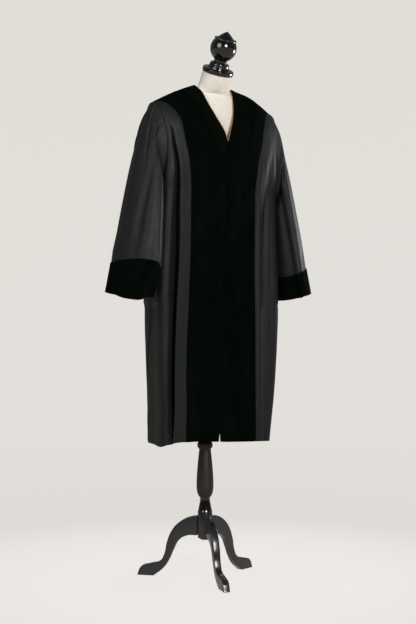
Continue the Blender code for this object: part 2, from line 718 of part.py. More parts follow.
def turned(name, profile, finish, group, floor_centre, steps=32, smooth_angle=35.0):
    """Solid of revolution about its own Z axis; the profile runs down its outer side."""
    points = [(radius, 0.0, height) for height, radius in reversed(profile)]
    mesh = bpy.data.meshes.new(name)
    mesh.from_pydata(points, [(i, i + 1) for i in range(len(points) - 1)], [])
    piece = new_object(name, mesh, finish, group, floor_centre)
    screw = piece.modifiers.new("Turned", "SCREW")
    screw.steps = screw.render_steps = steps
    screw.use_merge_vertices = True
    screw.merge_threshold = 0.00005
    screw.use_smooth_shade = True
    return piece


def profile_of(rows, by):
    return list(zip(rows[by], rows["radius"]))


def ball_profile():
    """Finial: foot of the ball, the ball, its flange and its pointed crown."""
    low = math.asin(BALL_FOOT_RADIUS / BALL_RADIUS)
    high = math.asin(BALL_TOP_RADIUS / BALL_RADIUS)
    points = [(CAP_PROFILE["along"][-1] + GAP, 0.0), (CAP_PROFILE["along"][-1] + GAP, BALL_FOOT_RADIUS)]
    for i in range(15):
        angle = mix(low, math.pi - high, i / 14)
        points.append((BALL_CENTRE - BALL_RADIUS * math.cos(angle), BALL_RADIUS * math.sin(angle)))
    return points + list(zip(FINIAL_TOP["along"], FINIAL_TOP["radius"]))


def make_cap_and_finial(group, floor_centre):
    for name, profile in (("neck_cap", profile_of(CAP_PROFILE, "along")), ("finial", ball_profile())):
        piece = turned(name, profile, "wood_gloss_black", group, floor_centre)
        piece.location = NECK_TOP
        piece.rotation_euler = (NECK_LEAN, 0.0, 0.0)


def make_stand(group, floor_centre):
    turned("hub", profile_of(HUB_PROFILE, "height"), "wood_satin_black", group, floor_centre)
    turned("column", profile_of(COLUMN_PROFILE, "height"), "wood_dark", group, floor_centre)
    turned("post", profile_of(POST_PROFILE, "height"), "metal_black", group, floor_centre)
    for i in range(LEGS):
        make_leg(f"leg_{i + 1}", LEG_TURN + 2 * math.pi * i / LEGS, group, floor_centre)


def make_leg(name, direction, group, floor_centre):
    """Plank leg: a flat outline with eased edges, stood up in the leg's own plane."""
    curve = bpy.data.curves.new(name, "CURVE")
    curve.dimensions, curve.fill_mode = "2D", "BOTH"
    curve.extrude = LEG_THICKNESS / 2
    curve.resolution_u = curve.render_resolution_u = 3
    spline = curve.splines.new("BEZIER")
    spline.bezier_points.add(len(LEG_OUTLINE["reach"]) - 1)
    spline.use_cyclic_u = True
    for i, point in enumerate(spline.bezier_points):
        point.co = (LEG_OUTLINE["reach"][i], LEG_OUTLINE["height"][i], 0.0)
        kind = "VECTOR" if LEG_OUTLINE["corner"][i] else "AUTO"
        point.handle_left_type = point.handle_right_type = kind
    leg = bpy.data.objects.new(name, curve)
    curve.materials.append(material("wood_satin_black"))
    group.objects.link(leg)
    leg.parent = floor_centre
    leg.rotation_euler = (math.pi / 2, 0.0, direction)
    weld = leg.modifiers.new("Weld", "WELD")
    weld.merge_threshold = 0.0001
    ease_edges = leg.modifiers.new("Eased edges", "BEVEL")
    ease_edges.width, ease_edges.segments = LEG_EASE, 2
    ease_edges.limit_method, ease_edges.angle_limit = "ANGLE", math.radians(60)


def clear_scene():
    for old in list(bpy.data.objects):
        bpy.data.objects.remove(old, do_unlink=True)


def main():
    clear_scene()
    scene = bpy.context.scene
    group = bpy.data.collections.new("judicial_robe_on_dress_form")
    cutters = bpy.data.collections.new("cutters")
    scene.collection.children.link(group)
    scene.collection.children.link(cutters)
    floor_centre = bpy.data.objects.new("floor_centre", None)
    floor_centre.location = (0.0, POLE_Y, 0.0)
    group.objects.link(floor_centre)
    make_stand(group, floor_centre)
    make_form(group, cutters, floor_centre)
    make_cap_and_finial(group, floor_centre)
    make_fronts(group, floor_centre)
    make_back(group, floor_centre)
    make_sleeves(group, floor_centre)
    make_neck_lining(group, floor_centre)


main()
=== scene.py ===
# %% [markdown]
# # A judge's robe on a dress form
# The robe is cut from black wool and black velvet and hangs on a limbless dress form. The form
# turns on a short wooden column with three legs. The solids of the same object are loaded first:
# they fix every size, and each piece made here takes the place of one of them.

# %% The frame
import math

import bmesh
import bpy
import numpy as np
from mathutils import Matrix, Vector


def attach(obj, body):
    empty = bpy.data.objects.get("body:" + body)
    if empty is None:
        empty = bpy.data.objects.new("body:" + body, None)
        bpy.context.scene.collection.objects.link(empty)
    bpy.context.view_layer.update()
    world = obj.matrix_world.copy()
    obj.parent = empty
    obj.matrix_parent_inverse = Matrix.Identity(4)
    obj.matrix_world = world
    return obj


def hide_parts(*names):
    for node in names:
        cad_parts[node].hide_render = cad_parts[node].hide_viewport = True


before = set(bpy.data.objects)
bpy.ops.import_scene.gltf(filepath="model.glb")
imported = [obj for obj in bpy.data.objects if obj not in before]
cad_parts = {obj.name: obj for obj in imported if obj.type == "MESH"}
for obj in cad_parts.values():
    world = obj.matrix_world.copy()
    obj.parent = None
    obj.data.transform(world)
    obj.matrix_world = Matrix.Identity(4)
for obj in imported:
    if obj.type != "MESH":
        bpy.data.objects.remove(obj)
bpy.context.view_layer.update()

print("solids:", ", ".join(sorted(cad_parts)))

# %% [markdown]
# ## Sizes
# All sizes are metres. The robe's front faces -Y and the wearer's right hand is towards -X. The
# lines of the robe are worked out round the post, whose axis stands a little behind the middle of
# the plan, so every finished point is moved back by POLE_Y.

# %% Driving sizes
POLE_Y = 0.026
WOOL = 0.0016                   # thickness of the wool
VELVET = 0.0020                 # thickness of the velvet
SATIN = 0.0010                  # thickness of the satin
GAP = 0.0003                    # clearance between pieces that meet
HEM = 0.445                     # height of the hem at the front
BACK_HEM_RISE = 0.016           # the hem is this much higher at the middle of the back
UNDERARM = 1.245                # height of the lowest point of the armhole
SHOULDER_TIP = np.array((0.222, -0.045, 1.512))
SHOULDER_BOW = 0.004            # the shoulder seam rises this much above a straight line
BACK_NECK_SHARE = 5 / 14        # share of the back's half width that follows the neck edge
SLEEVE_Y = -0.046               # depth of the sleeve's outer and under lines
SLEEVE_LENGTH = 0.600
NECK_TOP = Vector((0.0, -0.075, 1.621))
NECK_LEAN = math.radians(26.0)  # the neck cap and the finial lean forward
LEG_THICKNESS = 0.021
LEG_TURN = math.radians(15.4)   # direction of the first leg, from +X towards +Y
SAME_PLACE = 0.00002            # points this close together are welded into one


# %% [markdown]
# ## Guide lines
# A tailor draws a few lines and joins them with smooth curves. The same is done here: short tables
# hold points of the lines, and one function reads a smooth curve through the rows of a table. It
# takes many places at once, which keeps the cloth quick to work out.

# %% Reading tables
def table(columns, *rows):
    """Rows of numbers as named columns."""
    names = columns.split()
    return {name: np.array([row[i] for row in rows], float) for i, name in enumerate(names)}


def curve(places, values, at):
    """Values at places between rows, on a smooth curve through every row."""
    places, values = np.asarray(places, float), np.asarray(values, float)
    at = np.clip(np.asarray(at, float), places[0], places[-1])
    slopes = np.gradient(values, places, axis=0)
    i = np.clip(np.searchsorted(places, at, side="right") - 1, 0, len(places) - 2)
    span = places[i + 1] - places[i]
    t = (at - places[i]) / span
    if values.ndim > 1:
        t, span = np.expand_dims(t, -1), np.expand_dims(span, -1)
        if values.ndim > 2:
            t, span = np.expand_dims(t, -1), np.expand_dims(span, -1)
    return (
        (2 * t**3 - 3 * t**2 + 1) * values[i] + (t**3 - 2 * t**2 + t) * span * slopes[i]
        + (3 * t**2 - 2 * t**3) * values[i + 1] + (t**3 - t**2) * span * slopes[i + 1]
    )


def ease(value):
    """Smooth step from 0 to 1."""
    value = np.clip(value, 0.0, 1.0)
    return value * value * (3.0 - 2.0 * value)


def mix(a, b, share):
    """So far from a to b."""
    return a + (b - a) * share


def point(x, y, z):
    """A point or a direction."""
    return np.array((x, y, z), float)


def unit(vector):
    """The same direction, 1 long."""
    return vector / np.linalg.norm(vector)


def points_of(rows):
    """The points in a table's x, y and z."""
    return np.stack([rows["x"], rows["y"], rows["z"]], axis=1)


def lengths_along(line):
    """Length of a line up to each of its points."""
    return np.concatenate([[0.0], np.cumsum(np.linalg.norm(np.diff(line, axis=0), axis=1))])


def along(rows, share):
    """Point at a share of the length of the curve through a table's x, y and z."""
    line = points_of(rows)
    places = lengths_along(line)
    return curve(places, line, share * places[-1])


def length_of(rows):
    """Whole length of the line through a table's x, y and z."""
    return float(np.linalg.norm(np.diff(points_of(rows), axis=0), axis=1).sum())


# %% Lines of the robe
# Half of the girth at several heights: front seam, front corner, side, rear corner and back, and
# how far behind the side the side seam runs.
GIRTH = table(
    "height centre_y seam_x seam_y corner_x corner_y side_x side_y rear_x rear_y back_y behind",
    (0.445, -0.084, 0.134, -0.092, 0.204, -0.095, 0.190, -0.012, 0.184, 0.110, 0.096, 0.055),
    (0.650, -0.090, 0.131, -0.096, 0.219, -0.100, 0.202, -0.013, 0.192, 0.114, 0.098, 0.036),
    (0.900, -0.100, 0.128, -0.103, 0.232, -0.107, 0.209, -0.014, 0.197, 0.117, 0.099, -0.014),
    (1.090, -0.116, 0.124, -0.112, 0.222, -0.112, 0.209, -0.020, 0.190, 0.110, 0.096, -0.023),
    (1.245, -0.128, 0.124, -0.121, 0.214, -0.116, 0.213, -0.045, 0.200, 0.088, 0.092, 0.000),
)
FRONT_ROUND, BACK_ROUND = 2.6, 2.0      # how full the corners of the girth are
# Seam between velvet and wool above the underarm.
SEAM = table(
    "x y z",
    (0.124, -0.121, 1.245), (0.134, -0.127, 1.334), (0.148, -0.124, 1.397), (0.160, -0.110, 1.462),
    (0.178, -0.089, 1.496), (0.203, -0.062, 1.514), SHOULDER_TIP,
)
# Neck edge from the point of the V to the shoulder, then round the back.
NECK = table(
    "x y z",
    (0.0000, -0.1330, 1.394), (0.0094, -0.1300, 1.424), (0.0320, -0.1130, 1.475),
    (0.0483, -0.0906, 1.521), (0.0590, -0.0680, 1.561), (0.0685, -0.0460, 1.581),
)
BACK_NECK_EDGE = table(
    "x y z",
    (0.0685, -0.0460, 1.581), (0.0655, -0.0200, 1.570), (0.0430, 0.0090, 1.565),
    (0.0, 0.0200, 1.562),
)
# Lines across the back above the underarm.
BACK_LINES = table(
    "share middle_y middle_z corner_x corner_y corner_z weight turn",
    (0.50, 0.084, 1.430, 0.180, 0.078, 1.405, 1.3, 82.0),
    (0.85, 0.045, 1.531, 0.150, 0.034, 1.522, 1.0, 35.0),
)
# Sleeve at each station, 0 at the armhole and 1 at the hem of the cuff.
SLEEVE = table(
    "station outer_x outer_z under_x under_z front_x front_y front_z rear_x rear_y rear_z",
    (0.00, 0.222, 1.512, 0.215, 1.245, 0.198, -0.108, 1.380, 0.198, 0.032, 1.380),
    (0.05, 0.230, 1.494, 0.224, 1.224, 0.221, -0.105, 1.364, 0.222, 0.036, 1.362),
    (0.25, 0.270, 1.370, 0.229, 1.160, 0.231, -0.122, 1.276, 0.238, 0.046, 1.278),
    (0.55, 0.309, 1.195, 0.234, 1.068, 0.250, -0.142, 1.140, 0.262, 0.049, 1.145),
    (0.80, 0.341, 1.039, 0.239, 0.980, 0.270, -0.156, 1.004, 0.284, 0.050, 1.012),
    (1.00, 0.363, 0.9235, 0.242, 0.907, 0.301, -0.140, 0.905, 0.301, 0.052, 0.914),
)
# How square the section is towards its outer side and how pointed towards its front and rear.
SLEEVE_SECTION = table(
    "station faces front_tip rear_tip",
    (0.00, 2.0, 2.0, 2.0), (0.25, 2.1, 2.0, 2.1), (0.55, 2.3, 1.8, 2.1),
    (0.80, 2.5, 1.55, 1.9), (1.00, 2.7, 1.45, 1.8),
)
# Depth of the velvet cuff in metres, at degrees round the sleeve from its outer line to the front.
CUFF_DEPTH = table(
    "turn right left",
    (0.0, 0.098, 0.084), (45.0, 0.117, 0.094), (70.0, 0.125, 0.098), (90.0, 0.128, 0.101),
    (135.0, 0.112, 0.107), (180.0, 0.102, 0.112), (270.0, 0.096, 0.098), (360.0, 0.093, 0.084),
)
print("neck edge, mm:", round(1000 * (length_of(NECK) + length_of(BACK_NECK_EDGE)) * 2))


# %% [markdown]
# "Rise" counts up the robe: 0 at the hem, 1 at the underarm and 2 at the shoulder. Each line
# function gives one point of a line at a rise.

# %% Points on the lines
def height_at(rise):
    """Height of a rise up to the underarm."""
    return mix(HEM, UNDERARM, rise)


def girth(name, rise):
    """One number of the girth at a rise."""
    return float(curve(GIRTH["height"], GIRTH[name], height_at(rise)))


def centre_line(rise):
    """Front edge: up the middle, then along the neck edge to the shoulder seam."""
    if rise <= 1.0:
        return point(0.0, girth("centre_y", rise), height_at(rise))
    straight, curved = NECK["z"][0] - UNDERARM, length_of(NECK)
    at = (rise - 1.0) * (straight + curved)
    if at <= straight:
        return point(0.0, mix(GIRTH["centre_y"][-1], NECK["y"][0], at / straight), UNDERARM + at)
    return along(NECK, (at - straight) / curved)


def seam_line(rise):
    """Seam between the velvet and the wool."""
    if rise <= 1.0:
        return point(girth("seam_x", rise), girth("seam_y", rise), height_at(rise))
    return along(SEAM, rise - 1.0)


ARMHOLE_FRONT, ARMHOLE_REAR = 0.063, 0.077      # reach of the armhole before and behind the arm
ARMHOLE_WAIST = 0.015           # it is cut this much nearer the middle at half its height


def armhole(turn):
    """Edge of the armhole: 0 degrees at the shoulder, 90 at the front, 180 at the underarm."""
    angle = np.radians(turn)
    up = 0.5 + 0.5 * np.cos(angle)
    reach = np.where(np.sin(angle) > 0, ARMHOLE_FRONT, ARMHOLE_REAR)
    x = mix(GIRTH["side_x"][-1], SHOULDER_TIP[0], up) - ARMHOLE_WAIST * np.sin(angle) ** 2
    z = mix(UNDERARM, SHOULDER_TIP[2], up)
    return np.stack([x, SHOULDER_TIP[1] - reach * np.sin(angle), z], axis=-1)


def side_line(rise, rear=False):
    """The front or the rear half of the armhole, above the side seam."""
    turn = 180.0 * (2.0 - rise)
    return armhole(-turn if rear else turn)


def shoulder_point(share):
    """Shoulder seam from the neck (0) to the tip (1)."""
    here = mix(points_of(NECK)[-1], SHOULDER_TIP, share)
    return here + point(0.0, 0.0, SHOULDER_BOW * math.sin(math.pi * share))


def spaced(line, wanted):
    """Points of a line at the wanted lengths along it."""
    places = lengths_along(line)
    return np.stack([np.interp(wanted, places, line[:, k]) for k in range(3)], axis=1)


FINE_POINTS, HALF_POINTS = 241, 121     # points on a line before it is spaced anew


def rounded(start, corner, end, weight, count):
    """Evenly spaced points round a corner, on a conic from start to end."""
    u = np.linspace(0.0, 1.0, FINE_POINTS)[:, None]
    a, b, c = (1 - u) ** 2, 2 * u * (1 - u) * weight, u * u
    fine = (start * a + corner * b + end * c) / (a + b + c)
    return spaced(fine, np.linspace(0.0, lengths_along(fine)[-1], count))


def half_girth(rise):
    """Line round the body from the velvet to the middle of the back, and where the side seam is."""
    z = height_at(rise)
    seam, corner, side, rear = (
        point(girth(f"{name}_x", rise), girth(f"{name}_y", rise), z)
        for name in ("seam", "corner", "side", "rear")
    )
    front = rounded(seam, corner, side, FRONT_ROUND, HALF_POINTS)
    back = rounded(side, rear, point(0.0, girth("back_y", rise), z), BACK_ROUND, HALF_POINTS)
    line = np.concatenate([front, back[1:]])
    return line, lengths_along(front)[-1] + girth("behind", rise)


# %% [markdown]
# ## Rows of each panel
# A panel is a grid of points: one row across it at each rise, from the hem up.

# %% Rows of the fronts and the back
SLIT, SLIT_HALF_WIDTH = 0.040, 0.0034   # the front edges part just above the hem
FRONT_EDGE_GAP = 0.0005         # and stand this far from the middle above the slit
CHEST_CROWN = 0.006             # the velvet stands this far forward of a straight line at the chest
CROWN_FROM, CROWN_TO, CROWN_FADE = 0.6, 1.6, 0.4    # rises where that sets in and fades out
BOW_FROM, BOW_FADE = 1.7, 0.3   # and where the velvet takes on the bow of the shoulder seam


def velvet_row(rise, count):
    """From the front edge to the seam, slightly crowned across the chest."""
    inner, outer = centre_line(rise), seam_line(rise)
    climbed = rise * (UNDERARM - HEM)
    inner[0] += FRONT_EDGE_GAP + SLIT_HALF_WIDTH * max(0.0, 1.0 - climbed / SLIT)
    crown = CHEST_CROWN * ease(rise - CROWN_FROM) * (1.0 - ease((rise - CROWN_TO) / CROWN_FADE))
    bow = SHOULDER_BOW * ease((rise - BOW_FROM) / BOW_FADE)
    share = np.linspace(0.0, 1.0, count)[:, None]
    swell = np.sin(math.pi * share)
    return mix(inner, outer, share) + swell * point(0.0, -crown, bow)


CORNER_BACK = 0.005             # the front corner lies this much farther back at the underarm
TIP_ROUND = 0.5                 # how full the corner of the side front is at the shoulder
TIP_EARLY = 1.6                 # it gets that sharp this many times sooner than the shoulder


def front_wool_row(rise, count):
    """From the seam round the front corner to the side seam or the armhole."""
    if rise <= 1.0:
        line, side_seam = half_girth(rise)
        return spaced(line, np.linspace(0.0, side_seam, count))
    start, end, share = seam_line(rise), side_line(rise), rise - 1.0
    spare = point(GIRTH["corner_x"][-1] - GIRTH["side_x"][-1], CORNER_BACK, 0.0) * (1.0 - share)
    corner = point(end[0], start[1], 0.5 * (start[2] + end[2])) + spare
    fullness = mix(FRONT_ROUND, TIP_ROUND, ease(share * TIP_EARLY))
    return rounded(start, corner, end, fullness, count)


def back_top(count):
    """Top edge of the back: the neck edge, then the shoulder seam."""
    row = []
    for share in np.linspace(0.0, 1.0, count):
        if share < BACK_NECK_SHARE:
            row.append(along(BACK_NECK_EDGE, 1.0 - share / BACK_NECK_SHARE))
        else:
            row.append(shoulder_point((share - BACK_NECK_SHARE) / (1.0 - BACK_NECK_SHARE)))
    return np.array(row)


def back_lower_row(rise, count):
    """From the middle of the back to the side seam."""
    line, side_seam = half_girth(rise)
    return spaced(line, np.linspace(lengths_along(line)[-1], side_seam, count))


def back_upper_lines(count):
    """The lines that the rows of the upper back are read between."""
    lines = [back_lower_row(1.0, count)]
    for i, turn in enumerate(BACK_LINES["turn"]):
        middle = point(0.0, BACK_LINES["middle_y"][i], BACK_LINES["middle_z"][i])
        corner = point(*[BACK_LINES[f"corner_{axis}"][i] for axis in "xyz"])
        lines.append(rounded(middle, corner, armhole(-turn), BACK_LINES["weight"][i], count))
    return np.array(lines + [back_top(count)])


def back_row(rise, count, upper):
    """From the middle of the back to the side seam or the armhole."""
    if rise <= 1.0:
        return back_lower_row(rise, count)
    row = curve([0.0, *BACK_LINES["share"], 1.0], upper, rise - 1.0)
    miss = side_line(rise, rear=True) - row[-1]
    return row + miss * (np.linspace(0.0, 1.0, count) ** 3)[:, None]


# %% Rings of the sleeve
HEAD_STATION = 0.05             # the sleeve leaves the armhole over this share of its length
ARMHOLE_GAP = 0.0014            # its first ring stands this far outside the armhole's edge
UNDERARM_GAP = 0.0018           # and this much more at the underarm


def signed_power(value, power):
    """Power of a value's size, with the value's sign."""
    return np.sign(value) * np.abs(value) ** power


def sleeve_points(turn, station):
    """Points of the sleeve: turn in degrees from the outer line towards the front."""
    at, form = (
        {name: curve(rows["station"], rows[name], station) for name in rows}
        for rows in (SLEEVE, SLEEVE_SECTION)
    )
    angle = np.radians(turn)
    level = np.full_like(angle, SLEEVE_Y)
    outer = np.stack([at["outer_x"], level, at["outer_z"]], axis=-1)
    under = np.stack([at["under_x"], level, at["under_z"]], axis=-1)
    front = np.stack([at["front_x"], at["front_y"], at["front_z"]], axis=-1)
    rear = np.stack([at["rear_x"], at["rear_y"], at["rear_z"]], axis=-1)
    middle = (outer + under) * 0.5
    ahead = (np.sin(angle) > 0)[..., None]
    tip = np.where(ahead[..., 0], form["front_tip"], form["rear_tip"])
    reach = signed_power(np.cos(angle), 2.0 / tip)[..., None]
    depth = (np.abs(np.sin(angle)) ** (2.0 / form["faces"]))[..., None]
    here = middle + (outer - middle) * reach + (np.where(ahead, front, rear) - middle) * depth
    seat = armhole(turn)
    seat[..., 0] += ARMHOLE_GAP + UNDERARM_GAP * (0.5 - 0.5 * np.cos(angle))
    return mix(here, seat, (1.0 - ease(station / HEAD_STATION))[..., None])


def cuff_start(turn, side_word):
    """Station at which the velvet cuff begins, on the right or the left sleeve."""
    depth = curve(CUFF_DEPTH["turn"], CUFF_DEPTH[side_word], np.mod(turn, 360.0))
    return 1.0 - depth / SLEEVE_LENGTH


# %% [markdown]
# ## Folds
# Cloth that hangs from the shoulders falls in long folds. A fold here is a trough with a steep
# wall on one side and a slack ramp on the other, placed by a short table: where its floor lies
# across the panel at several heights, how wide its wall, floor and ramp are, and how deep it is.
# A negative depth makes a ridge. A faint ripple with fixed waves keeps the cloth from looking
# pressed.

# %% Shaping the folds
def distance_across(grid):
    """Metres across the panel from its first column, for every point."""
    steps = np.linalg.norm(np.diff(grid, axis=1), axis=2)
    return np.concatenate([np.zeros((len(grid), 1)), np.cumsum(steps, axis=1)], axis=1)


def fold(*rows):
    """A fold's table: place, wall, floor, ramp and depth at several heights or stations."""
    return table("up place wall floor ramp depth", *rows)


def read_at(rows, up):
    """A fold's numbers at each point; up is the height or the station."""
    return {name: curve(rows["up"], rows[name], up) for name in rows if name != "up"}


def trough(rows, across, up):
    """How far one fold sinks at each point."""
    read = read_at(rows, up)
    off = across - read["place"]
    side = np.where(off < 0, 1.0 + off / read["wall"], 1.0 - (off - read["floor"]) / read["ramp"])
    return read["depth"] * ease(side)


def rolled(share, lip):
    """A straight rise from 0 to 1 whose first part, up to lip, starts as a soft roll."""
    return np.where(share < lip, share * share / (2.0 * lip), share - 0.5 * lip) / (1.0 - 0.5 * lip)


def pleat(rows, across, up, crease=0.20, edge=0.15, lip=0.30):
    """How far a deep pleat is tucked in: a first edge, a crease, then a rolled lip."""
    read = read_at(rows, up)
    into = np.clip((across - read["place"]) / np.maximum(read["mouth"], 1e-6), 0.0, 1.0)
    first, last = rolled(into / crease, edge), rolled((1.0 - into) / (1.0 - crease), lip)
    return read["depth"] * np.minimum(first, last)


def evened(grid, count):
    """The same rows with their columns spaced evenly along the folded cloth."""
    return np.array([spaced(row, np.linspace(0.0, lengths_along(row)[-1], count)) for row in grid])


RIPPLE_SIZES, NARROWER, LOWER = 5, 0.72, 0.75   # each size is a share of the one before it
RIPPLE_STRETCH = 7.0            # each ripple is this many times as long as it is wide
RIPPLE_LEAN = 0.25              # it leans aside this share of its height at the most
RIPPLE_BEND = 2.1               # its line bends this many radians in its length
RIPPLE_SWELL = 1.7              # and it rises and dies away over this many lengths


def ripple(across, up, seed, height, wave):
    """Faint uneven waves that run mostly up the cloth."""
    rng = np.random.default_rng(seed)
    total = np.zeros_like(across)
    for step in range(RIPPLE_SIZES):
        size = wave * NARROWER ** step
        lean, phase = rng.uniform(-RIPPLE_LEAN, RIPPLE_LEAN), rng.uniform(0, 2 * math.pi)
        drift = rng.uniform(0, 9)
        bend = 0.5 * size * np.sin(up / (RIPPLE_STRETCH * size) * RIPPLE_BEND + drift)
        waves = np.sin(2 * math.pi * (across + lean * up + bend) / size + phase) * LOWER ** step
        total += waves * np.sin(
            2 * math.pi * up / (RIPPLE_STRETCH * size * RIPPLE_SWELL) + drift
        )
    return total * height


def normals_of(grid, closed=False):
    """Outward normals of a grid of points round the robe's axis or, closed, round a sleeve."""
    if closed:
        sideways = np.roll(grid, -1, axis=1) - np.roll(grid, 1, axis=1)
        centre = grid.mean(axis=1, keepdims=True)
    else:
        sideways = np.gradient(grid, axis=1)
        centre = grid * point(0.0, 0.0, 1.0)
    normal = np.cross(sideways, np.gradient(grid, axis=0))
    normal /= np.maximum(np.linalg.norm(normal, axis=2, keepdims=True), 1e-9)
    return normal * np.sign(np.mean(np.sum(normal * (grid - centre), axis=2)))


# %% [markdown]
# A panel's edges are finished as a tailor would: the hem is turned up inside, and the seam edges
# turn in as seam allowances. On the grid that is a few more rows or columns behind the edge.

# %% Turning edges in
HEM_DEPTH, HEM_ROLL = 0.030, 0.0014     # how far the hem is turned up, and radius of its roll
ROLL_SAG = 0.6                  # the roll hangs this share of its radius below the first row


def with_hem(grid, normal, depth=HEM_DEPTH, roll=HEM_ROLL):
    """Adds rows inside the first row: the roll of the hem and the cloth turned up."""
    up = grid[1] - grid[0]
    up /= np.linalg.norm(up, axis=1, keepdims=True)
    edge = grid[0] - normal[0] * roll - up * roll * ROLL_SAG
    turned = [grid[0] - normal[0] * 2 * roll + up * reach for reach in (depth, 0.5 * depth, roll)]
    rows = np.concatenate([np.array(turned), edge[None], grid], axis=0)
    added = len(rows) - len(grid)
    return rows, np.concatenate([normal[:1]] * added + [normal], axis=0)


ROLL = 0.0005                   # the cloth bends round this radius at a seam
ALLOWANCE = 0.007               # and turns in this far behind it
# How much lower than level the hem hangs, in degrees round the robe from the front, left positive.
HEM_HANG = table(
    "ahead drop",
    (-180.0, 0.0), (-115.0, 0.0), (-105.0, 0.001), (-95.0, 0.001), (-86.0, 0.0025),
    (-78.0, 0.005), (-72.0, 0.004), (-66.0, -0.003), (-61.0, -0.009), (-54.0, -0.009),
    (-36.0, -0.007), (-12.0, -0.004), (0.0, -0.003), (20.0, -0.001), (45.0, 0.001),
    (60.0, 0.003), (70.0, 0.006), (90.0, 0.004), (130.0, 0.0), (180.0, 0.0),
)
HANG_REACH = 0.160              # this much cloth above the hem follows it
# How much lower than level the left shoulder lies, across the body; below 0 it lies higher.
SHOULDER_SAG = table(
    "x drop",
    (0.0, 0.0), (0.040, 0.0005), (0.070, 0.0020), (0.095, 0.0), (0.130, -0.0055),
    (0.160, -0.0065), (0.195, -0.0010), (0.215, 0.0040), (0.240, 0.0050), (0.300, 0.0),
)
SAG_FROM, SAG_REACH = 1.40, 0.10    # from this height up, and in full this much higher
# How much farther from the middle each front seam runs; the cloth beside it follows.
SEAM_SHIFT = table(
    "up right left",
    (0.445, -0.0070, 0.0025), (0.560, -0.0057, 0.0019), (0.660, -0.0020, 0.0008),
    (0.790, -0.0020, 0.0), (0.850, -0.0040, -0.0012), (0.950, -0.0048, -0.0042),
    (1.090, -0.0028, -0.0060), (1.190, 0.0, -0.0078), (1.300, 0.0010, -0.0105),
    (1.380, 0.0010, -0.0095), (1.440, 0.0, -0.0045), (1.490, 0.0, 0.0),
)
SHIFT_REACH = 0.075             # the cloth within this distance follows the seam
CENTRE_SHIFT, CENTRE_REACH = 0.0038, 0.12   # the front closes a little to the left of the middle
FRONT_FROM, FRONT_FADE = 0.02, 0.04     # only cloth this far ahead of the post belongs to the front
# How much farther out the sides of the body run, and above them the sleeves.
SIDE_SHIFT = table(
    "up right left",
    (0.445, 0.0045, 0.0040), (0.505, 0.0, 0.0034), (0.550, -0.0036, 0.0042),
    (0.600, -0.0016, 0.0038), (0.660, -0.0016, 0.0031), (0.737, -0.0020, 0.0014),
    (0.780, -0.0036, 0.0), (0.870, -0.0038, 0.0), (0.900, 0.0, -0.0050),
    (1.000, 0.0, -0.0050), (1.050, 0.0030, -0.0022), (1.110, 0.0, 0.0),
)
SLEEVE_LEVEL = 0.885            # below this the outline is the body's, above it the sleeves'
BODY_OUT, SLEEVE_OUT, OUT_FADE = 0.15, 0.25, 0.05   # how far from the middle the shift sets in


def seam_turned(grid, normal, depths=(ALLOWANCE, ALLOWANCE), roll=ROLL):
    """Adds columns behind the first and the last column: the roll at the seam and its allowance."""
    parts = [grid]
    for depth, edge, inner, before in ((depths[0], 0, 3, True), (depths[1], -1, -4, False)):
        seam, inwards = grid[:, edge], -normal[:, inner]
        away = grid[:, inner] - seam
        away /= np.maximum(np.linalg.norm(away, axis=1, keepdims=True), 1e-9)
        # How far inside and how far out past the seam each line of the turned edge lies.
        bend = ((0.4 * roll, 0.7 * roll), (2.5 * roll, roll), (depth, 0.4 * roll))
        turned = [seam + inwards * sunk - away * out for sunk, out in bend]
        columns = [column[:, None] for column in turned]
        parts = [*columns[::-1], *parts] if before else [*parts, *columns]
    return np.concatenate(parts, axis=1)


def held_in(grid, first, last):
    """Draws the rows in from the seams at both ends, to leave room for the neighbours."""
    rows = []
    for row in grid:
        places = lengths_along(row)
        rows.append(spaced(row, first + places * (1.0 - (first + last) / places[-1])))
    return np.array(rows)


def hung(grid):
    """Lets the hem and the left shoulder hang their own way, and places the seams and sides."""
    x, y, height = grid[..., 0], grid[..., 1], grid[..., 2]
    ahead = np.degrees(np.arctan2(x, -y))
    drop = curve(HEM_HANG["ahead"], HEM_HANG["drop"], ahead)
    drop = drop * (1.0 - ease((height - HEM) / HANG_REACH))
    sag = curve(SHOULDER_SAG["x"], SHOULDER_SAG["drop"], x)
    drop = drop + sag * ease((height - SAG_FROM) / SAG_REACH)
    seam_heights = np.concatenate([GIRTH["height"], SEAM["z"][1:]])
    seam_places = np.concatenate([GIRTH["seam_x"], SEAM["x"][1:]])
    from_seam = np.abs(x) - np.interp(height, seam_heights, seam_places)
    in_front = ease((-y - FRONT_FROM) / FRONT_FADE)
    left, right = (curve(SEAM_SHIFT["up"], SEAM_SHIFT[word], height) for word in ("left", "right"))
    near = ease(1.0 - np.abs(from_seam) / SHIFT_REACH) * in_front
    aside = np.where(x > 0, left, -right) * near
    middle = ease(1.0 - np.abs(x) / CENTRE_REACH) * in_front
    out_left, out_right = (
        np.interp(height, SIDE_SHIFT["up"], SIDE_SHIFT[word]) for word in ("left", "right")
    )
    set_in = np.where(height > SLEEVE_LEVEL, SLEEVE_OUT, BODY_OUT)
    outer = np.where(x > 0, out_left, -out_right) * ease((np.abs(x) - set_in) / OUT_FADE)
    aside = aside + CENTRE_SHIFT * middle + outer
    return grid - drop[..., None] * point(0.0, 0.0, 1.0) + aside[..., None] * point(1.0, 0.0, 0.0)


def other_side(grid):
    """The same panel on the other side of the robe, in the same order round the body."""
    return grid[:, ::-1] * point(-1.0, 1.0, 1.0)


# %% [markdown]
# ## From a grid to cloth
# Blender's own grid is made first, its vertices are moved onto the rows, and a UV map in metres is
# laid on it so that a weave keeps its true size on every panel. A live Solidify modifier gives the
# cloth its thickness, half to each side of the middle of the wall.

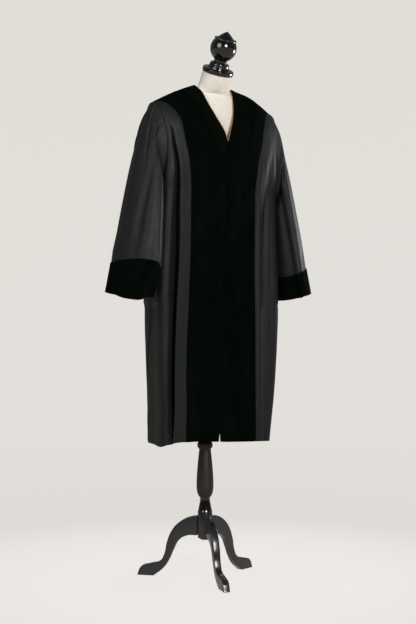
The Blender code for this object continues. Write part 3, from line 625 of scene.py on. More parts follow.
# %% Making a cloth piece
robe = bpy.data.collections.new("robe")
stand_group = bpy.data.collections.new("form_and_stand")
for group in (robe, stand_group):
    bpy.context.scene.collection.children.link(group)


def keep(mesh, name, finish, group):
    """Object at the origin for a finished mesh."""
    made = bpy.data.objects.new(name, mesh)
    made.data.materials.append(finish)
    group.objects.link(made)
    return made


def cloth(name, grid, wall, finish, closed=False):
    """A sheet of cloth through a grid of points."""
    if closed:
        grid = np.concatenate([grid, grid[:, :1]], axis=1)
    grid = hung(grid) + point(0.0, POLE_Y, 0.0)
    rows, columns = grid.shape[:2]
    across = distance_across(grid)
    across -= across[:, columns // 2:columns // 2 + 1]
    climbed = np.linalg.norm(np.diff(grid, axis=0), axis=2)
    up = np.concatenate([[0.0], np.cumsum(climbed.mean(axis=1))])
    sheet = bmesh.new()
    bmesh.ops.create_grid(sheet, x_segments=columns - 1, y_segments=rows - 1, size=1.0)
    weave = sheet.loops.layers.uv.new("weave")
    for face in sheet.faces:
        for corner in face.loops:
            column = round((corner.vert.co.x + 1.0) * 0.5 * (columns - 1))
            row = round((corner.vert.co.y + 1.0) * 0.5 * (rows - 1))
            corner[weave].uv = (across[row, column], up[row])
    for vertex in sheet.verts:
        column = round((vertex.co.x + 1.0) * 0.5 * (columns - 1))
        row = round((vertex.co.y + 1.0) * 0.5 * (rows - 1))
        vertex.co = grid[row, column]
    bmesh.ops.remove_doubles(sheet, verts=sheet.verts, dist=SAME_PLACE)
    area = sum(face.calc_area() for face in sheet.faces)
    mesh = bpy.data.meshes.new(name)
    sheet.to_mesh(mesh)
    sheet.free()
    mesh.shade_smooth()
    piece = keep(mesh, name, finish, robe)
    shell = piece.modifiers.new("Wall", "SOLIDIFY")
    shell.thickness, shell.offset, shell.use_even_offset = wall, 0.0, False
    print(f"{name}: {len(mesh.polygons)} faces, {area:.3f} m2")
    return piece


def outward_check(piece, closed=False):
    """Turns the faces round where the grid ran the other way."""
    mesh = piece.data
    centre = Vector((0.0, POLE_Y, 0.0))
    total = 0.0
    if closed:
        centre = sum((v.co for v in mesh.vertices), Vector()) / len(mesh.vertices)
    for face in mesh.polygons:
        reach = face.center - centre
        total += face.area * face.normal.dot(Vector((reach.x, reach.y, 0.0)))
    if total < 0:
        mesh.flip_normals()
    return piece


# %% [markdown]
# ## Materials
# Each finish starts from what the real material is. Colours are sRGB values that one function
# turns to linear ones, pattern sizes are given in millimetres, and one small function adds a node.

# %% Material helpers
def hex_colour(code):
    """Linear colour of an sRGB hex value."""
    parts = [int(code[i:i + 2], 16) / 255 for i in (0, 2, 4)]
    return (*[p / 12.92 if p <= 0.04045 else ((p + 0.055) / 1.055) ** 2.4 for p in parts], 1.0)


def add(tree, kind, inputs=None, **settings):
    """Adds a node, sets its settings, and links or sets its inputs."""
    made = tree.nodes.new(kind)
    for name, value in settings.items():
        setattr(made, name, value)
    for name, value in (inputs or {}).items():
        if isinstance(value, bpy.types.NodeSocket):
            tree.links.new(value, made.inputs[name])
        else:
            made.inputs[name].default_value = value
    return made


def per_mm(size):
    """Scale of a pattern whose cells are so many millimetres wide, on coordinates in metres."""
    return 1000.0 / size


def new_material(name, colour, roughness, **extra):
    """A Principled material; extra names more of the shader's sockets, with _ for a space."""
    made = bpy.data.materials.new(name)
    made.use_nodes = True
    made.diffuse_color = hex_colour(colour)
    shader = made.node_tree.nodes["Principled BSDF"]
    shader.inputs["Base Color"].default_value = hex_colour(colour)
    shader.inputs["Roughness"].default_value = roughness
    for socket, value in extra.items():
        shader.inputs[socket.replace("_", " ")].default_value = value
    return made, made.node_tree, shader


def colour_ramp(tree, factor, *stops):
    """Colour Ramp node between (place, hex) stops."""
    ramp = add(tree, "ShaderNodeValToRGB", {"Fac": factor})
    for i, (place, code) in enumerate(stops):
        element = ramp.color_ramp.elements[i] if i < 2 else ramp.color_ramp.elements.new(place)
        element.position, element.color = place, hex_colour(code)
    return ramp.outputs["Color"]


# %% [markdown]
# **Wool gabardine.** A smooth worsted cloth, dyed black. Its fine steep twill and long fibres give
# a low silky shine along the folds and near-black in the valleys. The real twill lines are about
# 0.5 mm apart, too fine to show from a few metres, so they are drawn 1.4 mm apart.

# %% Wool
TWILL_MM, FIBRE_MM, MOTTLE_MM = 1.4, 0.9, 26.0
TWILL_ANGLE = math.radians(63.0)
WAVE_CELL = 2.0 * math.pi / 20.0    # the wave texture's bands are this far apart at scale 1

wool, tree, shader = new_material(
    "wool_gabardine_black", "181919", 0.54,
    Sheen_Weight=0.02, Sheen_Roughness=0.40, Specular_IOR_Level=0.24,
)
place = add(tree, "ShaderNodeUVMap", uv_map="weave").outputs["UV"]
steep = add(tree, "ShaderNodeMapping", {"Vector": place, "Rotation": (0.0, 0.0, TWILL_ANGLE)})
twill = add(
    tree, "ShaderNodeTexWave",
    {"Vector": steep.outputs["Vector"], "Scale": per_mm(TWILL_MM) * WAVE_CELL,
     "Distortion": 0.6, "Detail": 2.0, "Detail Scale": 3.0},
    wave_type="BANDS", bands_direction="X",
)
long_fibre = add(tree, "ShaderNodeMapping", {"Vector": place, "Scale": (1.0, 0.12, 1.0)})
fibre = add(
    tree, "ShaderNodeTexNoise",
    {"Vector": long_fibre.outputs["Vector"], "Scale": per_mm(FIBRE_MM),
     "Detail": 3.0, "Roughness": 0.6},
)
mottle = add(
    tree, "ShaderNodeTexNoise", {"Vector": place, "Scale": per_mm(MOTTLE_MM), "Detail": 4.0},
)
both = add(
    tree, "ShaderNodeMix",
    {"Factor": 0.35, "A": fibre.outputs["Fac"], "B": mottle.outputs["Fac"]}, data_type="FLOAT",
)
dye = colour_ramp(tree, both.outputs["Result"], (0.30, "161818"), (0.72, "202222"))
tree.links.new(dye, shader.inputs["Base Color"])
rough = add(
    tree, "ShaderNodeMapRange",
    {"Value": mottle.outputs["Fac"], "From Min": 0.3, "From Max": 0.7,
     "To Min": 0.49, "To Max": 0.59},
)
tree.links.new(rough.outputs["Result"], shader.inputs["Roughness"])
fine = add(
    tree, "ShaderNodeBump",
    {"Height": twill.outputs["Fac"], "Strength": 0.12, "Distance": 0.0003},
)
soft = add(
    tree, "ShaderNodeBump",
    {"Height": fibre.outputs["Fac"], "Normal": fine.outputs["Normal"],
     "Strength": 0.15, "Distance": 0.0004},
)
tree.links.new(soft.outputs["Normal"], shader.inputs["Normal"])
print(wool.name, len(tree.nodes), "nodes")

# %% [markdown]
# **Cotton velvet.** Its pile stands up and swallows light, so it is the blackest part of the robe,
# with a faint green cast. Where the pile has been stroked or leans over a fold it shows long soft
# patches a little lighter. The tufts are about 0.4 mm wide and are drawn at 1.2 mm.

# %% Velvet
TUFT_MM, STROKE_MM = 1.2, 55.0

velvet, tree, shader = new_material(
    "cotton_velvet_black", "030805", 0.92,
    Sheen_Weight=0.012, Sheen_Roughness=0.35, Specular_IOR_Level=0.02,
)
shader.inputs["Sheen Tint"].default_value = hex_colour("8C9A90")
place = add(tree, "ShaderNodeUVMap", uv_map="weave").outputs["UV"]
tuft = add(tree, "ShaderNodeTexNoise", {"Vector": place, "Scale": per_mm(TUFT_MM), "Detail": 2.0})
stroked = add(
    tree, "ShaderNodeMapping",
    {"Vector": place, "Rotation": (0.0, 0.0, 0.35), "Scale": (1.0, 0.28, 1.0)},
)
stroke = add(
    tree, "ShaderNodeTexNoise",
    {"Vector": stroked.outputs["Vector"], "Scale": per_mm(STROKE_MM),
     "Detail": 2.0, "Distortion": 0.4},
)
both = add(
    tree, "ShaderNodeMix",
    {"Factor": 0.7, "A": tuft.outputs["Fac"], "B": stroke.outputs["Fac"]}, data_type="FLOAT",
)
dye = colour_ramp(tree, both.outputs["Result"], (0.36, "020603"), (0.66, "080E0A"))
tree.links.new(dye, shader.inputs["Base Color"])
pile = add(
    tree, "ShaderNodeBump",
    {"Height": tuft.outputs["Fac"], "Strength": 0.35, "Distance": 0.0006},
)
tree.links.new(pile.outputs["Normal"], shader.inputs["Normal"])
print(velvet.name, len(tree.nodes), "nodes")

# %% [markdown]
# **Satin.** The band inside the neck is a warm gold satin, smooth and shiny along its threads.
# **Jersey.** The form is covered with a stretched ivory cotton knit. Its loops are under 1 mm wide
# and are drawn at 1.6 mm, with a slow unevenness of the yarn over them.

# %% Satin and jersey
THREAD_MM, KNIT_MM, SLUB_MM = 0.8, 1.6, 18.0

satin, tree, shader = new_material(
    "satin_gold", "C08A4E", 0.38, Sheen_Weight=0.15, Anisotropic=0.5, Specular_IOR_Level=0.6,
)
place = add(tree, "ShaderNodeUVMap", uv_map="weave").outputs["UV"]
flat_thread = add(tree, "ShaderNodeMapping", {"Vector": place, "Scale": (0.15, 1.0, 1.0)})
thread = add(
    tree, "ShaderNodeTexNoise",
    {"Vector": flat_thread.outputs["Vector"], "Scale": per_mm(THREAD_MM), "Detail": 2.0},
)
dye = colour_ramp(tree, thread.outputs["Fac"], (0.3, "A87442"), (0.7, "D3A468"))
tree.links.new(dye, shader.inputs["Base Color"])
weave = add(
    tree, "ShaderNodeBump",
    {"Height": thread.outputs["Fac"], "Strength": 0.2, "Distance": 0.0002},
)
tree.links.new(weave.outputs["Normal"], shader.inputs["Normal"])

jersey, tree, shader = new_material("cotton_jersey_ivory", "F2ECDF", 0.85, Sheen_Weight=0.2)
place = add(tree, "ShaderNodeTexCoord").outputs["Object"]
ribs = add(tree, "ShaderNodeMapping", {"Vector": place, "Scale": (1.0, 1.0, 0.45)})
knit = add(
    tree, "ShaderNodeTexVoronoi",
    {"Vector": ribs.outputs["Vector"], "Scale": per_mm(KNIT_MM), "Randomness": 0.45},
)
slub = add(tree, "ShaderNodeTexNoise", {"Vector": place, "Scale": per_mm(SLUB_MM), "Detail": 4.0})
dye = colour_ramp(tree, slub.outputs["Fac"], (0.3, "F1E8D8"), (0.7, "F8F2E7"))
tree.links.new(dye, shader.inputs["Base Color"])
loops = add(
    tree, "ShaderNodeBump",
    {"Height": knit.outputs["Distance"], "Strength": 0.25, "Distance": 0.0004}, invert=True,
)
tree.links.new(loops.outputs["Normal"], shader.inputs["Normal"])
print(satin.name, jersey.name)


# %% [markdown]
# **Turned beech.** The cap and the finial have many coats of black lacquer, rubbed to a gloss. The
# column is stained dark brown and only waxed, so the grain runs faintly up it. The hub and the
# legs have a satin black lacquer that lies a little uneven over the sawn and sanded edges.
# **Powder-coated steel.** The post is baked matt black, with a fine orange-peel skin.

# %% Wood and steel finishes
GRAIN_MM, BRUSH_MM, SKIN_MM = 3.5, 9.0, 1.0


def beech(name, dark, light, roughness, coat, coat_roughness, grain_depth):
    """Lacquered or waxed wood whose grain runs up the piece."""
    made, tree, shader = new_material(
        name, dark, roughness, Coat_Weight=coat, Coat_Roughness=coat_roughness,
    )
    place = add(tree, "ShaderNodeTexCoord").outputs["Object"]
    drawn_out = add(tree, "ShaderNodeMapping", {"Vector": place, "Scale": (1.0, 1.0, 0.08)})
    grain = add(
        tree, "ShaderNodeTexNoise",
        {"Vector": drawn_out.outputs["Vector"], "Scale": per_mm(GRAIN_MM),
         "Detail": 5.0, "Roughness": 0.6},
    )
    uneven = add(
        tree, "ShaderNodeTexNoise", {"Vector": place, "Scale": per_mm(BRUSH_MM), "Detail": 3.0},
    )
    stain = colour_ramp(tree, grain.outputs["Fac"], (0.35, dark), (0.7, light))
    tree.links.new(stain, shader.inputs["Base Color"])
    shine = add(
        tree, "ShaderNodeMapRange",
        {"Value": uneven.outputs["Fac"], "From Min": 0.3, "From Max": 0.7,
         "To Min": roughness * 0.85, "To Max": roughness * 1.2},
    )
    tree.links.new(shine.outputs["Result"], shader.inputs["Roughness"])
    bump = add(
        tree, "ShaderNodeBump",
        {"Height": grain.outputs["Fac"], "Strength": grain_depth, "Distance": 0.0003},
    )
    tree.links.new(bump.outputs["Normal"], shader.inputs["Normal"])
    return made


gloss_black = beech("beech_black_gloss_lacquer", "0A0A0B", "121112", 0.10, 1.0, 0.08, 0.03)
dark_wood = beech("beech_dark_stain_waxed", "1B1613", "302823", 0.50, 0.03, 0.20, 0.25)
satin_black = beech("beech_black_satin_lacquer", "1A1B1D", "232427", 0.24, 1.0, 0.20, 0.06)

post_steel, tree, shader = new_material(
    "steel_black_powder_coat", "1E1F20", 0.45, Specular_IOR_Level=0.5,
)
place = add(tree, "ShaderNodeTexCoord").outputs["Object"]
skin = add(tree, "ShaderNodeTexNoise", {"Vector": place, "Scale": per_mm(SKIN_MM), "Detail": 2.0})
orange_peel = add(
    tree, "ShaderNodeBump",
    {"Height": skin.outputs["Fac"], "Strength": 0.15, "Distance": 0.0003},
)
tree.links.new(orange_peel.outputs["Normal"], shader.inputs["Normal"])
print("wood:", gloss_black.name, dark_wood.name, satin_black.name)
print("steel:", post_steel.name)

# %% [markdown]
# ## The dress form
# The real form is a hollow moulded torso covered with knit. Here level outlines are lofted up the
# body and lean forward at the neck. The underside is closed round the hole for the post.

# %% Dress form
FORM = table(
    "height middle_y half_width half_front half_rear lean power",
    (0.850, 0.000, 0.150, 0.078, 0.080, 0.0, 2.3),
    (0.950, 0.000, 0.163, 0.086, 0.088, 0.0, 2.3),
    (1.060, -0.006, 0.150, 0.080, 0.076, 0.0, 2.3),
    (1.150, -0.012, 0.136, 0.078, 0.070, 0.0, 2.2),
    (1.250, -0.020, 0.152, 0.088, 0.078, 0.0, 2.3),
    (1.340, -0.026, 0.172, 0.090, 0.080, 0.0, 2.4),
    (1.410, -0.032, 0.181, 0.078, 0.080, 0.0, 2.4),
    (1.470, -0.039, 0.181, 0.063, 0.066, 0.0, 2.2),
    (1.505, -0.042, 0.181, 0.051, 0.052, 0.0, 1.9),
    (1.524, -0.044, 0.176, 0.040, 0.040, 0.0, 1.7),
    (1.5420, -0.045, 0.155, 0.035, 0.033, 0.0, 1.5),
    (1.5552, -0.045, 0.122, 0.0310, 0.0280, 2.0, 1.15),
    (1.560, -0.047, 0.084, 0.0365, 0.0320, 6.0, 1.2),
    (1.569, -0.050, 0.0620, 0.0430, 0.0395, 11.0, 1.5),
    (1.582, -0.055, 0.0535, 0.0455, 0.0440, 17.0, 1.9),
    (1.600, -0.064, 0.0492, 0.0480, 0.0475, 22.0, 2.0),
    (1.6205, -0.0747, 0.0480, 0.0480, 0.0480, 26.0, 2.0),
)
SPIGOT_HOLE, SOCKET_DEPTH = 0.0123, 0.100
FORM_FOOT = ((0.012, 0.0), (0.003, 0.0), (0.0006, 0.0012))  # how the lower edge is rounded
FORM_COLUMNS, FORM_STEPS = 96, 4


def form_ring(at, shrink=0.0, lift=0.0):
    """One leaning outline of the form."""
    angle = np.linspace(0.0, 2 * math.pi, FORM_COLUMNS, endpoint=False)
    c, s = np.cos(angle), np.sin(angle)
    depth = np.where(s < 0, at["half_front"], at["half_rear"]) - shrink
    x = signed_power(c, 2 / at["power"]) * (at["half_width"] - shrink)
    y = signed_power(s, 2 / at["power"]) * depth
    lean = math.radians(at["lean"])
    return np.stack(
        [x, at["middle_y"] + y * math.cos(lean), at["height"] + lift + y * math.sin(lean)], axis=1,
    )


def form_row(step):
    """The form's numbers at a step between two rows of its table."""
    steps = np.arange(len(FORM["height"]))
    return {name: float(curve(steps, FORM[name], step)) for name in FORM}


def round_row(radius, height):
    """A ring of the hole for the post."""
    angle = np.linspace(0.0, 2 * math.pi, FORM_COLUMNS, endpoint=False)
    level = np.full(FORM_COLUMNS, height)
    return np.stack([radius * np.cos(angle), radius * np.sin(angle), level], axis=1)


base = form_row(0)
rings = [
    round_row(SPIGOT_HOLE, base["height"] + SOCKET_DEPTH), round_row(SPIGOT_HOLE, base["height"]),
]
rings += [form_ring(base, shrink, lift) for shrink, lift in FORM_FOOT]
last_row = len(FORM["height"]) - 1
rings += [form_ring(form_row(step / FORM_STEPS)) for step in range(1, last_row * FORM_STEPS)]
top = form_row(last_row)
rings += [form_ring(top), form_ring(top, shrink=0.0015, lift=0.0003)]


def lofted(name, rings, finish, group):
    """A closed skin through rings of points, with both ends filled."""
    grid = np.array(rings) + point(0.0, POLE_Y, 0.0)
    columns = grid.shape[1]
    skin = bmesh.new()
    bmesh.ops.create_grid(skin, x_segments=columns, y_segments=len(grid) - 1, size=1.0)
    for vertex in skin.verts:
        column = round((vertex.co.x + 1.0) * 0.5 * columns) % columns
        vertex.co = grid[round((vertex.co.y + 1.0) * 0.5 * (len(grid) - 1)), column]
    bmesh.ops.remove_doubles(skin, verts=skin.verts, dist=SAME_PLACE)
    ends = [edge for edge in skin.edges if edge.is_boundary]
    bmesh.ops.holes_fill(skin, edges=ends, sides=0)
    bmesh.ops.recalc_face_normals(skin, faces=skin.faces)
    mesh = bpy.data.meshes.new(name)
    skin.to_mesh(mesh)
    skin.free()
    mesh.shade_smooth()
    mesh.set_sharp_from_angle(angle=math.radians(50))
    return keep(mesh, name, finish, group)


dress_form = lofted("dress_form", rings, jersey, stand_group)
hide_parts("bust_form")
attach(dress_form, "bust")
print(dress_form.name, len(dress_form.data.polygons), "faces")

# %% [markdown]
# ## Turned pieces
# A turner cuts a profile into a spinning blank. Here a profile of a few points is spun with the
# spin operator, and a small bevel breaks its sharp edges so that they catch the light.

# %% Turned profiles
CAP_PROFILE = table(
    "along radius",
    (0.0000, 0.0000), (0.0000, 0.0486), (0.0015, 0.0500), (0.0118, 0.0500), (0.0142, 0.0478),
    (0.0150, 0.0360), (0.0188, 0.0352), (0.0215, 0.0320), (0.0305, 0.0308), (0.0332, 0.0280),
    (0.0345, 0.0212), (0.0345, 0.0000),
)
BALL_CENTRE, BALL_RADIUS = 0.0800, 0.0420
BALL_FOOT_RADIUS, BALL_TOP_RADIUS = 0.0208, 0.0315
BALL_STEPS = 40
FINIAL_TOP = table(
    "along radius",
    (0.1065, 0.0312), (0.1075, 0.0355), (0.1105, 0.0355), (0.1115, 0.0262), (0.1140, 0.0246),
    (0.1215, 0.0170), (0.1290, 0.0078), (0.1340, 0.0000),
)
COLUMN_PROFILE = table(
    "along radius",
    (0.2123, 0.0000), (0.2123, 0.0225), (0.2150, 0.0240), (0.2180, 0.0225), (0.2200, 0.0218),
    (0.2450, 0.0172), (0.2565, 0.0158), (0.2600, 0.0162), (0.2640, 0.0200), (0.2720, 0.0240),
    (0.2850, 0.0268), (0.3000, 0.0275), (0.3200, 0.0271), (0.3500, 0.0252), (0.3800, 0.0225),
    (0.4050, 0.0198), (0.4160, 0.0188), (0.4190, 0.0210), (0.4220, 0.0240), (0.4290, 0.0250),
    (0.4360, 0.0240), (0.4400, 0.0205), (0.4400, 0.0000),
)
HUB_PROFILE = table(
    "along radius",
    (0.1240, 0.0000), (0.1240, 0.0150), (0.1262, 0.0178), (0.1290, 0.0190), (0.1292, 0.0235),
    (0.2120, 0.0235), (0.2120, 0.0000),
)
POST_PROFILE = table(
    "along radius",
    (0.4403, 0.0000), (0.4403, 0.0155), (0.8497, 0.0155), (0.8497, 0.0120), (0.9650, 0.0120),
    (0.9670, 0.0100), (0.9670, 0.0000),
)
COLLAR_TOP = 0.2610             # below this the column is lacquered black
TURN_STEPS = 96
SHARP = math.radians(28.0)      # an edge that turns more than this is broken with a small bevel


def sharp_edges(shape, turn):
    """Edges whose two faces turn more than an angle."""
    return [e for e in shape.edges if len(e.link_faces) == 2 and e.calc_face_angle() > turn]


def spun(name, profile, finish, edge=0.0005, lean=0.0, foot=(0.0, 0.0, 0.0)):
    """Spins a profile of (along, radius) points into a closed solid."""
    lathe = bmesh.new()
    line = [lathe.verts.new((radius, 0.0, height)) for height, radius in profile]
    for first, second in zip(line, line[1:]):
        lathe.edges.new((first, second))
    bmesh.ops.spin(
        lathe, geom=lathe.verts[:] + lathe.edges[:], cent=(0, 0, 0), axis=(0, 0, 1),
        angle=2 * math.pi, steps=TURN_STEPS, use_merge=True,
    )
    bmesh.ops.remove_doubles(lathe, verts=lathe.verts, dist=SAME_PLACE)
    bmesh.ops.recalc_face_normals(lathe, faces=lathe.faces)
    bmesh.ops.bevel(
        lathe, geom=sharp_edges(lathe, SHARP), offset=edge, offset_type="OFFSET", affect="EDGES",
        segments=2, profile=0.5, material=-1, clamp_overlap=True,
    )
    bmesh.ops.rotate(lathe, verts=lathe.verts, cent=(0, 0, 0), matrix=Matrix.Rotation(lean, 3, "X"))
    bmesh.ops.translate(lathe, verts=lathe.verts, vec=Vector(foot) + Vector((0.0, POLE_Y, 0.0)))
    mesh = bpy.data.meshes.new(name)
    lathe.to_mesh(mesh)
    lathe.free()
    mesh.shade_smooth()
    mesh.set_sharp_from_angle(angle=math.radians(40))
    print(f"{name}: {len(mesh.polygons)} faces")
    return keep(mesh, name, finish, stand_group)


def smooth_profile(rows, first, last, steps):
    """The profile with extra points on a smooth curve between two of its rows."""
    order = np.arange(first, last + 1)
    fine = np.linspace(first, last, steps)
    heights = curve(order, rows["along"][order], fine)
    radii = curve(order, rows["radius"][order], fine)
    before = list(zip(rows["along"][:first], rows["radius"][:first]))
    after = list(zip(rows["along"][last + 1:], rows["radius"][last + 1:]))
    return before + list(zip(heights, radii)) + after


def ball_profile():
    """Foot of the ball, the ball, its flange and its pointed crown."""
    low = math.asin(BALL_FOOT_RADIUS / BALL_RADIUS)
    high = math.asin(BALL_TOP_RADIUS / BALL_RADIUS)
    foot = CAP_PROFILE["along"][-1] + GAP
    points = [(foot, 0.0), (foot, BALL_FOOT_RADIUS)]
    for angle in np.linspace(low, math.pi - high, BALL_STEPS):
        points.append((BALL_CENTRE - BALL_RADIUS * math.cos(angle), BALL_RADIUS * math.sin(angle)))
    return points + smooth_profile(FINIAL_TOP, first=4, last=7, steps=12)


def plain_profile(rows):
    """The profile's own points, in straight lines."""
    return list(zip(rows["along"], rows["radius"]))


neck_cap = spun(
    "lacquered_neck_cap", smooth_profile(CAP_PROFILE, first=6, last=9, steps=12), gloss_black,
    lean=NECK_LEAN, foot=NECK_TOP,
)
ball = spun("lacquered_finial", ball_profile(), gloss_black, lean=NECK_LEAN, foot=NECK_TOP)
baluster = smooth_profile(COLUMN_PROFILE, first=9, last=16, steps=36)
column = spun("turned_column", baluster, dark_wood)
hub = spun("leg_hub", plain_profile(HUB_PROFILE), satin_black)
post = spun("steel_post", plain_profile(POST_PROFILE), post_steel)
column.data.materials.append(gloss_black)
for face in column.data.polygons:
    face.material_index = int(face.center.z < COLLAR_TOP)
for piece, node, body, finish in (
    (neck_cap, "neck_cap", "bust", "wood_gloss_black"),
    (ball, "finial", "bust", "wood_gloss_black"),
    (column, "column", "stand", "wood_dark"),
    (hub, "hub", "stand", "wood_satin_black"),
    (post, "post", "stand", "metal_black"),
):
    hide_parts(node)
    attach(piece, body)

# %% [markdown]
# ## Legs
# The legs are sawn from a plank, so each is a flat outline stood on edge, with its edges rounded
# over by a router. A filled Bezier curve gives the outline and its thickness, and the curve is
# turned into a mesh before it is put in its place.

# %% Legs
LEG_OUTLINE = table(
    "reach height corner",
    (0.0240, 0.2005, 1), (0.0530, 0.1945, 0), (0.0850, 0.1770, 0), (0.1085, 0.1510, 0),
    (0.1250, 0.1130, 0), (0.1345, 0.0720, 0), (0.1480, 0.0500, 0), (0.1850, 0.0385, 0),
    (0.2120, 0.0290, 0), (0.2260, 0.0000, 1), (0.1710, 0.0000, 1), (0.1380, 0.0260, 0),
    (0.1190, 0.0540, 0), (0.1040, 0.0870, 0), (0.0860, 0.1190, 0), (0.0580, 0.1350, 0),
    (0.0240, 0.1370, 1),
)
LEG_EASE = 0.0038               # radius of the router's round
LEG_SHARP = math.radians(60.0)  # the sawn corners turn more than this
LEG_WELD = 0.00005              # points of its outline this close together are one


def make_leg(name, direction):
    """One leg, standing out from the hub in its direction."""
    outline = bpy.data.curves.new(name, "CURVE")
    outline.dimensions, outline.fill_mode = "2D", "BOTH"
    outline.extrude = LEG_THICKNESS / 2
    outline.resolution_u = outline.render_resolution_u = 10
    spline = outline.splines.new("BEZIER")
    spline.bezier_points.add(len(LEG_OUTLINE["reach"]) - 1)
    spline.use_cyclic_u = True
    for i, knot in enumerate(spline.bezier_points):
        knot.co = (LEG_OUTLINE["reach"][i], LEG_OUTLINE["height"][i], 0.0)
        handle = "VECTOR" if LEG_OUTLINE["corner"][i] else "AUTO"
        knot.handle_left_type = knot.handle_right_type = handle
    drawn = bpy.data.objects.new(name, outline)
    stand_group.objects.link(drawn)
    bpy.context.view_layer.update()
    drawing = drawn.evaluated_get(bpy.context.evaluated_depsgraph_get())
    mesh = bpy.data.meshes.new_from_object(drawing)
    bpy.data.objects.remove(drawn, do_unlink=True)
    bpy.data.curves.remove(outline)
    plank = bmesh.new()
    plank.from_mesh(mesh)
    bmesh.ops.remove_doubles(plank, verts=plank.verts, dist=LEG_WELD)
    bmesh.ops.dissolve_limit(
        plank, angle_limit=math.radians(1.0), verts=plank.verts, edges=plank.edges,
    )
    bmesh.ops.bevel(
        plank, geom=sharp_edges(plank, LEG_SHARP), offset=LEG_EASE, offset_type="OFFSET",
        affect="EDGES", segments=5, profile=0.5, material=-1, clamp_overlap=True,
    )
    for angle, axis in ((math.pi / 2, "X"), (direction, "Z")):
        turn = Matrix.Rotation(angle, 3, axis)
        bmesh.ops.rotate(plank, verts=plank.verts, cent=(0, 0, 0), matrix=turn)
    bmesh.ops.translate(plank, verts=plank.verts, vec=(0.0, POLE_Y, 0.0))
    bmesh.ops.recalc_face_normals(plank, faces=plank.faces)
    plank.to_mesh(mesh)
    plank.free()
    mesh.materials.clear()
    mesh.name = name
    mesh.shade_smooth()
    mesh.set_sharp_from_angle(angle=math.radians(35))
    return keep(mesh, name, satin_black, stand_group)


for number in range(3):
    leg = make_leg(f"plank_leg_{number + 1}", LEG_TURN + 2 * math.pi * number / 3)
    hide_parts(f"leg_{number + 1}")
    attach(leg, "stand")
    print(leg.name, len(leg.data.polygons), "faces")

# %% [markdown]
# ## The velvet fronts
# Two straight bands of velvet run from the shoulders to the hem and meet in the middle with a
# hidden fastening, so no buttons show. The pile is stiff: it takes only broad shallow waves.

# %% Velvet fronts
LOWER_ROWS, UPPER_ROWS = 110, 66    # rows of a panel below and above the underarm
EDGE_HOLD = 0.012               # waves fade out this far before the velvet's seams


def rises(top=2.0):
    """Rises from the hem to the underarm and on to the top."""
    lower = np.linspace(0.0, 1.0, LOWER_ROWS, endpoint=False)
    return np.concatenate([lower, np.linspace(1.0, top, UPPER_ROWS)])


VELVET_WAVES = {
    "right": [
        fold(
            (0.445, 0.070, 0.030, 0.004, 0.040, 0.0020),
            (0.800, 0.062, 0.030, 0.004, 0.040, 0.0030),
            (1.050, 0.040, 0.026, 0.004, 0.034, 0.0018),
            (1.250, 0.030, 0.020, 0.004, 0.030, 0.0),
        ),
        fold(
            (0.445, 0.112, 0.014, 0.002, 0.012, -0.0012),
            (0.900, 0.110, 0.014, 0.002, 0.012, -0.0014),
            (1.400, 0.120, 0.014, 0.002, 0.012, 0.0),
        ),
    ],
    "left": [
        fold(
            (0.445, 0.050, 0.026, 0.004, 0.034, 0.0016),
            (0.800, 0.056, 0.030, 0.004, 0.036, 0.0026),
            (1.100, 0.074, 0.030, 0.004, 0.030, 0.0020),
            (1.330, 0.090, 0.020, 0.004, 0.030, 0.0),
        ),
    ],
}
VELVET_COLUMNS = 34

for side, word in ((-1, "right"), (1, "left")):
    grid = np.array([velvet_row(rise, VELVET_COLUMNS) for rise in rises()])
    normal = normals_of(grid)
    across, up = distance_across(grid), grid[:, :, 2]
    sink = sum(trough(rows, across, up) for rows in VELVET_WAVES[word])
    sink += ripple(across, up, seed=11 + side, height=0.0002, wave=0.060)
    to_edges = np.minimum(across, across[:, -1:] - across)
    grid -= normal * (sink * ease(to_edges / EDGE_HOLD))[..., None]
    grid = held_in(grid, VELVET / 2 + ROLL, VELVET / 2 + GAP / 2 + ROLL)
    grid = seam_turned(*with_hem(grid, normal), depths=(0.0030, 0.0070))
    piece = cloth(f"velvet_front_{word}", grid if side > 0 else other_side(grid), VELVET, velvet)
    outward_check(piece)
    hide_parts(f"front_velvet_{word}")
    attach(piece, "bust")

# %% [markdown]
# ## The wool side fronts
# Beside the velvet a flat strip of wool ends in a sharp pleat whose floor is in shadow. Past the
# pleat the cloth rounds the corner of the body and runs smoothly back to the side seam.

# %% Wool side fronts
PLEATS = {
    "right": table(
        "up place mouth depth",
        (0.445, 0.0395, 0.0230, 0.010), (0.500, 0.0395, 0.0270, 0.028),
        (0.580, 0.0398, 0.0285, 0.048), (0.700, 0.0402, 0.0290, 0.058),
        (0.850, 0.0400, 0.0310, 0.054), (0.950, 0.0370, 0.0340, 0.048),
        (1.060, 0.0340, 0.0360, 0.046), (1.200, 0.0345, 0.0305, 0.044),
        (1.290, 0.0340, 0.0240, 0.038), (1.360, 0.0330, 0.0190, 0.026),
        (1.410, 0.0320, 0.0140, 0.010), (1.440, 0.0310, 0.0120, 0.000),
    ),
    "left": table(
        "up place mouth depth",
        (0.445, 0.0300, 0.0200, 0.006), (0.700, 0.0290, 0.0220, 0.010),
        (0.930, 0.0290, 0.0220, 0.009), (1.060, 0.0300, 0.0220, 0.008),
        (1.200, 0.0320, 0.0200, 0.005), (1.300, 0.0340, 0.0180, 0.000),
    ),
}
PLEAT_SOFT = table(             # the pleat's first edge softens upward
    "up crease edge",
    (0.70, 0.26, 0.15), (0.95, 0.36, 0.50), (1.06, 0.46, 0.85), (1.20, 0.54, 0.90),
    (1.36, 0.60, 0.90),
)
PLEAT_WAY = point(0.60, 0.80, 0.0)      # the pleats are tucked in behind the flat strip
